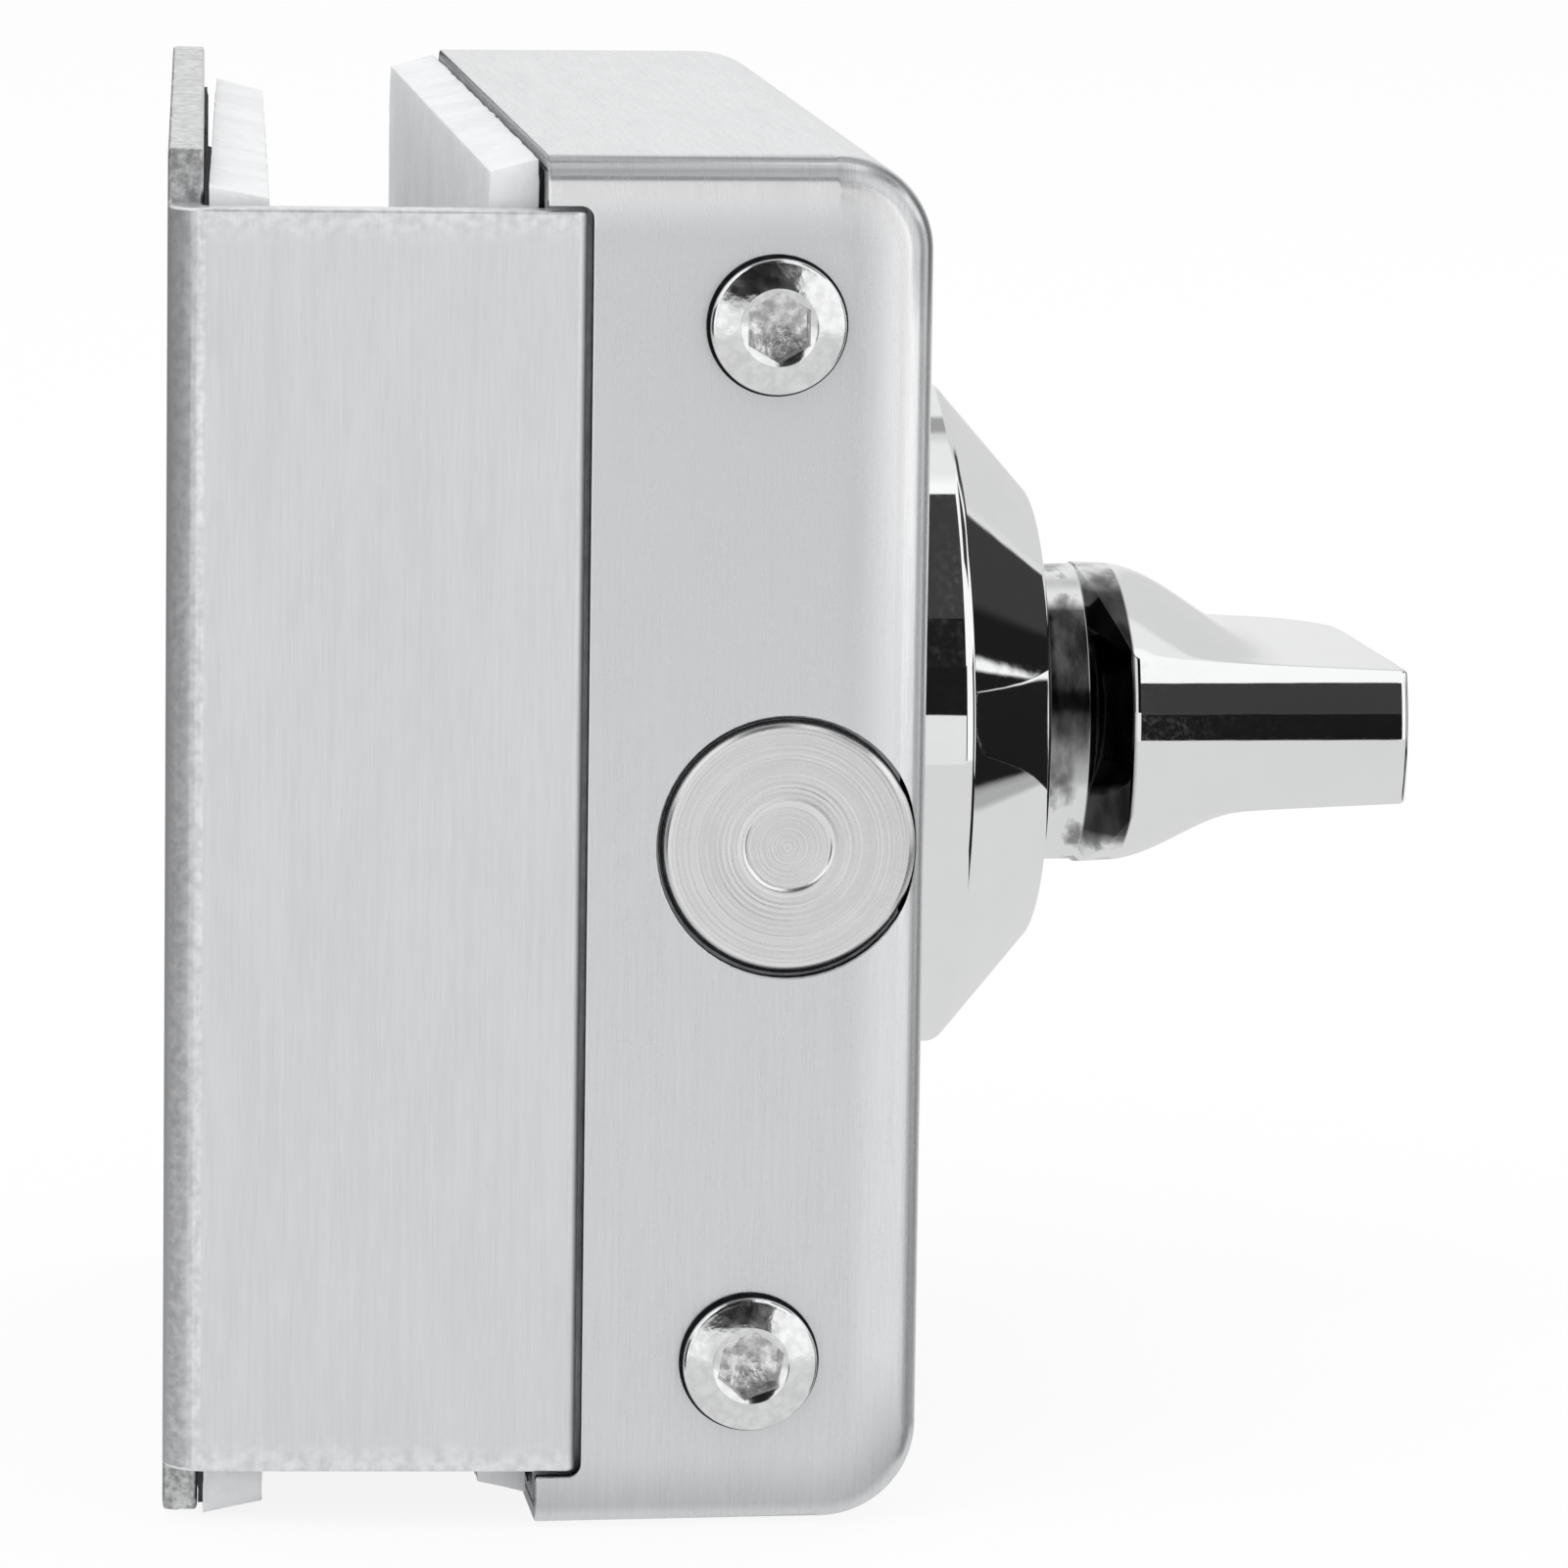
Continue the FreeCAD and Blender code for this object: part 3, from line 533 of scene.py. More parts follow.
@dataclass(frozen=True)
class Chrome(Finish):
    """Polished plating. The collar is smeared and satin, and the collar and the groove behind it are darkened
    by height as painted shade and painted dark reflection.

    Each painted shade is a row of heights in millimetres, each with how much of the colour is left there.
    """

    collar: Place = (0.0, 0.0)
    bevel: float = 0.0
    collar_painted_shade: tuple[Place, ...] = (
        (-10.5, 0.9), (-5.4, 0.85), (-3.4, 0.35), (0.0, 0.12), (7.8, 0.1), (8.8, 0.95)
    )
    bevel_painted_shade: tuple[Place, ...] = ((-10.5, 0.85), (-8.0, 0.7), (-7.0, 0.03), (9.0, 0.04), (10.2, 0.5))
    shade_border: float = 0.1
    smear_stretch: Triple = (1.0, 0.7, 0.45)
    smears_per_metre: float = 520.0
    smear_relief: float = 3.0
    contrast: float = 0.03
    satin: float = 0.24
    wave_depth: float = 0.006

    def span(self, pen: NodePen, along: Socket, start: float, end: float) -> Socket:
        """One between two places along the axis, in millimetres, and nothing elsewhere."""
        soft = self.shade_border
        opening = pen.rise(along, start - soft, start + soft)
        return pen.product(opening, pen.fall(along, end - soft, end + soft))

    def material(self) -> bpy.types.Material:
        """Build the polish, its faint waviness, the collar's smear and the painted shade on the collar and
        bevel.

        Returns:
            The finished material.
        """
        material, pen, shader, where = self.start()
        wide = pen.noise(where, 260.0, 2.0, 1.0)
        fine = pen.noise(where, 2600.0, 3.0, 2.0)
        colour = self.varied(pen, wide, self.contrast, self.contrast)
        across, _, rise = pen.split(where)
        on_collar = self.span(pen, across, *self.collar)
        on_bevel = self.span(pen, across, self.collar[1], self.bevel)
        smear = pen.noise(pen.stretched(where, self.smear_stretch), self.smears_per_metre, 4.0, 3.0)
        streaks = pen.between(smear, 0.34, 0.66, 0.35, 2.0)
        lowest = self.collar_painted_shade[0][0] * MM
        # Painted shade and painted dark reflection by height on the collar and the bevel, streaked by the
        # smear.
        for share, shade_rows in ((on_collar, self.collar_painted_shade), (on_bevel, self.bevel_painted_shade)):
            level = pen.graded(rise, lowest, -lowest, [(height * MM, left) for height, left in shade_rows])
            level = pen.math("MINIMUM", pen.product(level, streaks), 1.0)
            colour = pen.tint(share, colour, pen.tint(level, (0.0, 0.0, 0.0), self.colour))
        pen.feed(shader.inputs["Base Color"], colour)
        shader.inputs["Metallic"].default_value = 1.0
        patchy = pen.between(smear, 0.35, 0.65, 0.45, 1.0)
        polish = pen.between(fine, 0.4, 0.7, self.roughness, self.roughness * 1.8)
        rough = pen.math("ADD", polish, pen.product(on_collar, patchy, self.satin))
        pen.feed(shader.inputs["Roughness"], rough)
        height = pen.math("ADD", wide, pen.product(smear, on_collar, self.smear_relief))
        self.relief(pen, shader, height, self.wave_depth)
        return material


@dataclass(frozen=True)
class TurnedSteel(Finish):
    """Steel faced on a lathe: fine rings about an axis that points along Y."""

    centre: Place = (0.0, 0.0)
    rings_per_mm: float = 7.0
    wander: float = 0.04
    along_share: float = 0.4
    tone_shares: Place = (0.7, 0.3)
    contrast: float = 0.06
    uneven: float = 0.06
    ring_depth: float = 0.008

    def material(self) -> bpy.types.Material:
        """Build the rings.

        Returns:
            The finished material.
        """
        material, pen, shader, where = self.start()
        across, along, rise = pen.split(where)
        side = pen.math("SUBTRACT", across, self.centre[0] * MM)
        radius = pen.distance(side, pen.math("SUBTRACT", rise, self.centre[1] * MM))
        wobble = pen.product(pen.noise(where, 300.0, 2.0, 5.0), self.wander * MM)
        ring_place = pen.joined(radius, wobble, pen.product(along, self.along_share))
        rings = pen.noise(ring_place, self.rings_per_mm / MM, 2.0, 6.0)
        clouds = pen.noise(where, 500.0, 3.0, 7.0)
        tone = pen.weighted((rings, clouds), self.tone_shares)
        strong = pen.between(tone, 0.35, 0.65, 0.0, 1.0)
        pen.feed(shader.inputs["Base Color"], self.varied(pen, strong, self.contrast, self.contrast))
        self.dulled(pen, shader, tone, self.uneven, -self.uneven)
        shader.inputs["Metallic"].default_value = 1.0
        self.relief(pen, shader, rings, self.ring_depth)
        return material


@dataclass(frozen=True)
class PlainMetal(Finish):
    """Rolled, cast or plated metal with faint mottling."""

    mottle: float = 0.06
    grain: float = 1200.0
    depth: float = 0.01

    def material(self) -> bpy.types.Material:
        """Build the mottled metal.

        Returns:
            The finished material.
        """
        material, pen, shader, where = self.start()
        spots = pen.noise(where, self.grain, 4.0, 8.0)
        tone = pen.between(spots, 0.35, 0.65, 0.0, 1.0)
        pen.feed(shader.inputs["Base Color"], self.varied(pen, tone, self.mottle, self.mottle))
        self.dulled(pen, shader, spots, 0.05, -0.04)
        shader.inputs["Metallic"].default_value = 1.0
        self.relief(pen, shader, spots, self.depth)
        return material


@dataclass(frozen=True)
class MilkyPlastic(Finish):
    """Soft translucent white plastic with a cloudy skin."""

    cloud_shares: Place = (0.65, 0.35)
    darker: float = 0.07
    lighter: float = 0.05
    uneven: float = 0.08
    glow: float = 0.4
    glow_colour: Colour = (1.0, 0.95, 0.9)
    glow_depth: float = 1.5
    relief_depth: float = 0.03

    def material(self) -> bpy.types.Material:
        """Build the cloudy plastic.

        Returns:
            The finished material.
        """
        material, pen, shader, where = self.start()
        clouds = pen.noise(where, 160.0, 4.0, 9.0)
        specks = pen.noise(where, 1500.0, 3.0, 10.0)
        tone = pen.weighted((clouds, specks), self.cloud_shares)
        spread = pen.between(tone, 0.36, 0.62, 0.0, 1.0)
        pen.feed(shader.inputs["Base Color"], self.varied(pen, spread, self.darker, self.lighter))
        self.dulled(pen, shader, specks, self.uneven, -self.uneven)
        shader.inputs["Subsurface Weight"].default_value = self.glow
        shader.inputs["Subsurface Radius"].default_value = self.glow_colour
        shader.inputs["Subsurface Scale"].default_value = self.glow_depth * MM
        self.relief(pen, shader, pen.math("ADD", specks, clouds), self.relief_depth)
        return material


@dataclass(frozen=True)
class FoamTape(Finish):
    """Dark adhesive foam."""

    cells_per_metre: float = 2500.0
    darker: float = 0.4
    lighter: float = 0.9
    cell_depth: float = 0.08

    def material(self) -> bpy.types.Material:
        """Build the grainy foam.

        Returns:
            The finished material.
        """
        material, pen, shader, where = self.start()
        cells = pen.noise(where, self.cells_per_metre, 4.0, 11.0)
        pen.feed(shader.inputs["Base Color"], self.varied(pen, cells, self.darker, self.lighter))
        self.dulled(pen, shader, cells, -0.1, 0.0)
        self.relief(pen, shader, cells, self.cell_depth)
        return material


@dataclass(frozen=True)
class Finishes:
    """Every finish of the lock, built once."""

    brushed: bpy.types.Material
    flange: bpy.types.Material
    sheared: bpy.types.Material
    cut: bpy.types.Material
    chrome: bpy.types.Material
    turned: bpy.types.Material
    shadowed: bpy.types.Material
    bright: bpy.types.Material
    socket: bpy.types.Material
    plain: bpy.types.Material
    cast: bpy.types.Material
    bronze: bpy.types.Material
    pad: bpy.types.Material
    tape: bpy.types.Material

    @staticmethod
    def build(sizes: "LockSizes") -> "Finishes":
        """Build all finishes.

        Args:
            sizes: The lock's planes, for the finishes that follow an axis or a band.

        Returns:
            The finishes.
        """
        steel = (0.79, 0.80, 0.815)
        corner = (sizes.face - sizes.corner, sizes.top - sizes.corner, sizes.corner)
        collar = (sizes.collar, sizes.collar_end)
        # The flange's bend and sheared ends get dented press marks that are also made lighter as a painted
        # highlight.
        flange_marks = {
            "press_marks_and_highlight": 0.04,
            "bend_end": sizes.bend_end,
            "cut_end": sizes.flange_top,
            "flange_back": sizes.near + 3.2,
        }
        finishes = {
            # The case steel carries a painted highlight band and painted dark reflection lines inside its
            # rounded edge.
            "brushed": BrushedSteel(
                "brushed_case_steel", steel, 0.25, seed=1.0, corner=corner, rim_highlight=0.25
            ),
            "flange": BrushedSteel(
                "brushed_clamp_steel", shaded(steel, 0.05), 0.34, hairs_per_mm=8.0, seed=2.0, **flange_marks
            ),
            "sheared": PlainMetal("sheared_steel", (0.6, 0.605, 0.61), 0.5, 0.35, 1700.0, 0.12),
            "cut": PlainMetal("cut_edge", (0.86, 0.865, 0.87), 0.45, 0.12, 1500.0, 0.06),
            "shadowed": PlainMetal("shadowed_edge", (0.035, 0.036, 0.04), 0.6, 0.3),
            "chrome": Chrome("chrome", (0.94, 0.945, 0.95), 0.025, collar=collar, bevel=sizes.bevel_end),
            "turned": TurnedSteel("turned_steel", (0.97, 0.972, 0.975), 0.27, centre=(sizes.bolt_x, 0.0)),
            "bright": PlainMetal("bright_screw_steel", (0.88, 0.885, 0.89), 0.13, 0.07, 1400.0, 0.02),
            # The sockets' metal is rougher and mottled, and a little darker as painted shade in the recess.
            "socket": PlainMetal("pressed_socket", (0.8, 0.805, 0.81), 0.3, 0.35, 1400.0, 0.16),
            "plain": PlainMetal("plain_steel", (0.62, 0.63, 0.64), 0.38),
            "cast": PlainMetal("cast_block", (0.55, 0.56, 0.58), 0.5, 0.12, 700.0, 0.05),
            "bronze": PlainMetal("bronze", (0.72, 0.5, 0.27), 0.35),
            "pad": MilkyPlastic("milky_pad", (0.83, 0.84, 0.85), 0.5),
            "tape": FoamTape("dark_tape", (0.035, 0.036, 0.038), 0.9),
        }
        return Finishes(**{name: finish.material() for name, finish in finishes.items()})


# Meshes


@dataclass(frozen=True)
class LockSizes:
    """Planes and radii that several pieces share, in millimetres."""

    near: float = -58.0
    far: float = 28.0
    top: float = 43.0
    notch: float = 6.3
    bend_end: float = -17.35
    flange_top: float = 39.6
    face: float = 27.6
    corner: float = 6.0
    bolt_x: float = 18.87
    collar: float = 41.9
    collar_end: float = 44.9
    bevel_end: float = 47.45


@dataclass
class Shell:
    """Points in millimetres and faces of one closed skin."""

    points: list[Vector] = field(default_factory=list)
    faces: list[tuple[int, ...]] = field(default_factory=list)

    def ring(self, points: Iterable[Vector]) -> list[int]:
        """Add a loop of points and return their numbers."""
        start = len(self.points)
        self.points.extend(points)
        return list(range(start, len(self.points)))

    def bridge(self, first: list[int], second: list[int]) -> None:
        """Join two loops of the same length with a band of quads."""
        count = len(first)
        for step in range(count):
            after = (step + 1) % count
            self.faces.append((first[step], first[after], second[after], second[step]))

    def close(self, loop: list[int], middle: Vector) -> None:
        """Close a loop with a fan of triangles.

        Args:
            loop: The loop's point numbers.
            middle: The point that the triangles share.
        """
        centre = len(self.points)
        self.points.append(middle)
        count = len(loop)
        for step in range(count):
            self.faces.append((loop[step], loop[(step + 1) % count], centre))

    def piece(self, name: str) -> Piece:
        """Make the object.

        Args:
            name: The piece's name.

        Returns:
            The new object, with its faces turned outwards.
        """
        mesh = bpy.data.meshes.new(name)
        mesh.from_pydata([point * MM for point in self.points], [], self.faces)
        return finished_piece(name, mesh)


def link_piece(name: str, mesh: bpy.types.Mesh) -> Piece:
    """Put a mesh into the scene as an object at the origin."""
    piece = bpy.data.objects.new(name, mesh)
    bpy.context.scene.collection.objects.link(piece)
    return piece


def finished_piece(name: str, mesh: bpy.types.Mesh) -> Piece:
    """Merge, turn outwards and shade a mesh.

    Args:
        name: The piece's name.
        mesh: Its mesh.

    Returns:
        The new object.
    """
    work = bmesh.new()
    work.from_mesh(mesh)
    bmesh.ops.remove_doubles(work, verts=work.verts, dist=FINE_GAP)
    bmesh.ops.recalc_face_normals(work, faces=work.faces)
    work.to_mesh(mesh)
    work.free()
    shade(mesh)
    return link_piece(name, mesh)


def shade(mesh: bpy.types.Mesh) -> None:
    """Shade a mesh smooth, with sharp edges where it bends by more than the crease."""
    for face in mesh.polygons:
        face.use_smooth = True
    mesh.set_sharp_from_angle(angle=math.radians(CREASE))
    mesh.update()


def even_normals(piece: Piece) -> None:
    """Keep large flat faces flat next to their rounded edges."""
    modifier = piece.modifiers.new("even_normals", "WEIGHTED_NORMAL")
    modifier.keep_sharp = True
    modifier.weight = FACE_WEIGHT


@dataclass
class CadCopy:
    """A working copy of a CAD node's mesh that may be bevelled, divided and roughened."""

    node: Piece
    work: bmesh.types.BMesh = field(init=False)

    def __post_init__(self) -> None:
        """Merge the loose triangles and clear the seams inside flat faces."""
        self.work = bmesh.new()
        self.work.from_mesh(self.node.data)
        bmesh.ops.remove_doubles(self.work, verts=self.work.verts, dist=MERGE_GAP)
        bmesh.ops.dissolve_limit(
            self.work,
            angle_limit=math.radians(FLAT_BEND),
            use_dissolve_boundaries=False,
            verts=self.work.verts[:],
            edges=self.work.edges[:],
        )

    def soften(self, width: float, angle: float = 35.0, steps: int = 2) -> None:
        """Round the sharp edges.

        Args:
            width: The rounding's width in millimetres.
            angle: Only edges that bend by more than this many degrees are rounded.
            steps: Facets in each rounding.
        """
        sharp = [
            edge
            for edge in self.work.edges
            if len(edge.link_faces) == 2 and edge.calc_face_angle() > math.radians(angle)
        ]
        bmesh.ops.bevel(
            self.work,
            geom=sharp,
            offset=width * MM,
            offset_type="OFFSET",
            segments=steps,
            profile=0.5,
            affect="EDGES",
            clamp_overlap=True,
        )

    def everything(self) -> list[object]:
        """The copy's points, edges and faces."""
        return self.work.verts[:] + self.work.edges[:] + self.work.faces[:]

    def divide(self, direction: Triple, places: Iterable[float]) -> None:
        """Cut new edges into the faces along parallel planes.

        Args:
            direction: The planes' normal.
            places: Their distances from the origin in millimetres.
        """
        normal = Vector(direction)
        for place in places:
            bmesh.ops.bisect_plane(
                self.work,
                geom=self.everything(),
                dist=FINE_GAP,
                plane_co=normal * place * MM,
                plane_no=normal,
            )

    def roughen(self, depth: float, cell: float, seed: float, where: Callable[[Vector], float]) -> None:
        """Wear the surface down unevenly.

        Args:
            depth: The deepest wear in millimetres.
            cell: The size of its lumps in millimetres.
            seed: A fixed number that sets this wear apart.
            where: Gives a point's share of the wear, from 0 to 1, for a point in millimetres.
        """
        self.work.normal_update()
        moves = []
        for vertex in self.work.verts:
            share = where(vertex.co / MM)
            if share > 0.0:
                spot = vertex.co / (cell * MM) + Vector((seed, seed * 1.7, seed * 0.3))
                wear = 0.5 + 0.5 * noise.fractal(spot, *WEAR_NOISE)
                moves.append((vertex, -vertex.normal * max(0.0, min(1.0, wear)) * depth * share * MM))
        for vertex, move in moves:
            vertex.co += move

    def piece(self, name: str) -> Piece:
        """Make the object from the working copy.

        Args:
            name: The piece's name.

        Returns:
            The new object.
        """
        mesh = bpy.data.meshes.new(name)
        self.work.to_mesh(mesh)
        self.work.free()
        stale = mesh.attributes.get("custom_normal")
        if stale is not None:
            mesh.attributes.remove(stale)
        shade(mesh)
        piece = link_piece(name, mesh)
        even_normals(piece)
        return piece


def rounded_outline(corners: Sequence[Place], radii: Sequence[float], steps: int) -> list[Place]:
    """Round the corners of an outline.

    Args:
        corners: The outline's corners in order.
        radii: Each corner's radius, 0 where it stays sharp.
        steps: Points in each rounding.

    Returns:
        The outline's points.
    """
    count = len(corners)
    result: list[Place] = []
    for index, (corner, radius) in enumerate(zip(corners, radii)):
        here = Vector(corner)
        if radius <= 0.0:
            result.append((here.x, here.y))
            continue
        back = (Vector(corners[index - 1]) - here).normalized()
        ahead = (Vector(corners[(index + 1) % count]) - here).normalized()
        half = math.acos(max(-1.0, min(1.0, back.dot(ahead)))) / 2.0
        reach = radius / math.tan(half)
        middle = here + (back + ahead).normalized() * (radius / math.sin(half))
        start = here + back * reach - middle
        end = here + ahead * reach - middle
        sweep = math.pi - 2.0 * half
        turn = 1.0 if start.x * end.y - start.y * end.x > 0.0 else -1.0
        for step in range(steps + 1):
            angle = turn * sweep * step / steps
            spoke = Matrix.Rotation(angle, 2) @ start
            result.append((middle.x + spoke.x, middle.y + spoke.y))
    return result


# Geometry Nodes


class GeometryPen(NodePen):
    """Adds nodes to a geometry node tree with named inputs."""

    def __init__(self, name: str) -> None:
        """Start a tree whose first input and output are the geometry.

        Args:
            name: The tree's name.
        """
        tree = bpy.data.node_groups.new(name, "GeometryNodeTree")
        super().__init__(tree)
        tree.interface.new_socket("Geometry", in_out="INPUT", socket_type="NodeSocketGeometry")
        tree.interface.new_socket("Geometry", in_out="OUTPUT", socket_type="NodeSocketGeometry")
        self.entry = self.node("NodeGroupInput")
        self.exit = self.node("NodeGroupOutput")

    def named(self, name: str, kind: str) -> Socket:
        """Add a named input and return its socket inside the tree."""
        self.tree.interface.new_socket(name, in_out="INPUT", socket_type="NodeSocket" + kind)
        return self.entry.outputs[name]

    def finish(self, geometry: Socket, material: Socket) -> None:
        """End the tree in Realize Instances and Set Material.

        Args:
            geometry: What the tree has made.
            material: The material input.
        """
        real = self.node("GeometryNodeRealizeInstances")
        self.feed(real.inputs[0], geometry)
        dressed = self.node("GeometryNodeSetMaterial")
        self.feed(dressed.inputs["Geometry"], real.outputs[0])
        self.feed(dressed.inputs["Material"], material)
        self.feed(self.exit.inputs[0], dressed.outputs[0])


def grow(base: bpy.types.Mesh, tree: bpy.types.NodeTree, name: str, **inputs: object) -> bpy.types.Mesh:
    """Run a geometry tree on a mesh and return the plain result.

    Args:
        base: The mesh that the tree starts from.
        tree: The tree.
        name: The new mesh's name.
        inputs: Values of its named inputs, with _ for a space.

    Returns:
        The realised mesh.
    """
    holder = link_piece(name + "_start", base)
    modifier = holder.modifiers.new("build", "NODES")
    modifier.node_group = tree
    keys = {
        item.name.replace(" ", "_"): item.identifier
        for item in tree.interface.items_tree
        if item.item_type == "SOCKET" and item.in_out == "INPUT"
    }
    for given, value in inputs.items():
        modifier[keys[given]] = value
    graph = bpy.context.evaluated_depsgraph_get()
    mesh = bpy.data.meshes.new_from_object(holder.evaluated_get(graph), depsgraph=graph)
    mesh.name = name
    holder.modifiers.remove(modifier)
    bpy.data.objects.remove(holder)
    return mesh


class Lathe:
    """Turns an outline of (height, radius) points about an axis."""

    def __init__(self) -> None:
        """Build the tree: a grid whose rows follow the outline and whose columns go round."""
        pen = GeometryPen("turned_form")
        facets = pen.named("Facets", "Int")
        material = pen.named("Material", "Material")
        size = pen.node("GeometryNodeAttributeDomainSize")
        pen.feed(size.inputs[0], pen.entry.outputs["Geometry"])
        columns = pen.math("ADD", facets, 1.0)
        grid = pen.node("GeometryNodeMeshGrid")
        pen.feed(grid.inputs["Vertices X"], size.outputs["Point Count"])
        pen.feed(grid.inputs["Vertices Y"], columns)
        number = pen.node("GeometryNodeInputIndex").outputs[0]
        row = pen.math("FLOOR", pen.math("DIVIDE", pen.math("ADD", number, 0.5), columns))
        column = pen.math("SUBTRACT", number, pen.product(row, columns))
        angle = pen.product(pen.math("DIVIDE", column, facets), math.tau)
        sample = pen.node("GeometryNodeSampleIndex", data_type="FLOAT_VECTOR")
        pen.feed(sample.inputs["Geometry"], pen.entry.outputs["Geometry"])
        pen.feed(sample.inputs["Value"], pen.node("GeometryNodeInputPosition").outputs[0])
        pen.feed(sample.inputs["Index"], row)
        height, radius, _ = pen.split(sample.outputs["Value"])
        around = [pen.product(radius, pen.math(part, angle)) for part in ("COSINE", "SINE")]
        moved = pen.node("GeometryNodeSetPosition")
        pen.feed(moved.inputs["Geometry"], grid.outputs["Mesh"])
        pen.feed(moved.inputs["Position"], pen.joined(*around, height))
        merged = pen.node("GeometryNodeMergeByDistance")
        pen.feed(merged.inputs["Geometry"], moved.outputs[0])
        pen.feed(merged.inputs["Distance"], FINE_GAP)
        pen.finish(merged.outputs[0], material)
        self.tree = pen.tree

    def turn(
        self,
        name: str,
        outline: Sequence[Place],
        facets: int,
        material: bpy.types.Material,
        origin: Triple = (0.0, 0.0, 0.0),
        axis: Axis = Axis.ACROSS,
    ) -> bpy.types.Mesh:
        """Turn an outline.

        Args:
            name: The mesh's name.
            outline: Heights along the axis and radii, in millimetres.
            facets: Columns round the axis.
            material: Its material.
            origin: Where height 0 lies, in millimetres.
            axis: Where the height points.

        Returns:
            The turned mesh, in place.
        """
        base = bpy.data.meshes.new(name + "_outline")
        base.from_pydata([(height * MM, radius * MM, 0.0) for height, radius in outline], [], [])
        mesh = grow(base, self.tree, name, Facets=facets, Material=material)
        turn = Vector((0, 0, 1)).rotation_difference(Vector(axis.value)).to_matrix().to_4x4()
        mesh.transform(Matrix.Translation(Vector(origin) * MM) @ turn)
        return mesh


def repeater() -> bpy.types.NodeTree:
    """Build a tree that sets copies of a mesh at two places, each turned about its own axis.

    Returns:
        The tree. Its start geometry is the places' points.
    """
    pen = GeometryPen("repeated_screw")
    screw = pen.named("Screw", "Object")
    twist = pen.named("Twist", "Float")
    material = pen.named("Material", "Material")
    info = pen.node("GeometryNodeObjectInfo")
    pen.feed(info.inputs["Object"], screw)
    number = pen.node("GeometryNodeInputIndex").outputs[0]
    turn = pen.joined(0.0, pen.product(number, twist))
    placed = pen.node("GeometryNodeInstanceOnPoints")
    points = pen.node("GeometryNodeMeshToPoints")
    pen.feed(points.inputs["Mesh"], pen.entry.outputs["Geometry"])
    pen.feed(placed.inputs["Points"], points.outputs[0])
    pen.feed(placed.inputs["Instance"], info.outputs["Geometry"])
    pen.feed(placed.inputs["Rotation"], turn)
    pen.finish(placed.outputs[0], material)
    return pen.tree


# Sub-assemblies


def settle(piece: Piece, body: Body, slot: str, *nodes: str) -> None:
    """Let a new piece ride on its body in place of CAD nodes.

    Args:
        piece: The piece.
        body: The body that it moves with.
        slot: The record's material slot; not used.
        nodes: The CAD nodes that it stands for.
    """
    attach(piece, body.value)
    if nodes:
        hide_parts(*nodes)
    LOG.info("%s: %d faces, rides on %s", piece.name, len(piece.data.polygons), body.value)


def dress(piece: Piece, *materials: bpy.types.Material) -> None:
    """Give a piece its materials, first one first."""
    piece.data.materials.clear()
    for material in materials:
        piece.data.materials.append(material)


def spaced(start: float, end: float, count: int) -> list[float]:
    """Evenly spaced values from start to end."""
    return [start + (end - start) * step / (count - 1) for step in range(count)]


def ramp(value: float, low: float, high: float) -> float:
    """Smooth 0 to 1 as a value goes from low to high."""
    share = max(0.0, min(1.0, (value - low) / (high - low)))
    return share * share * (3.0 - 2.0 * share)


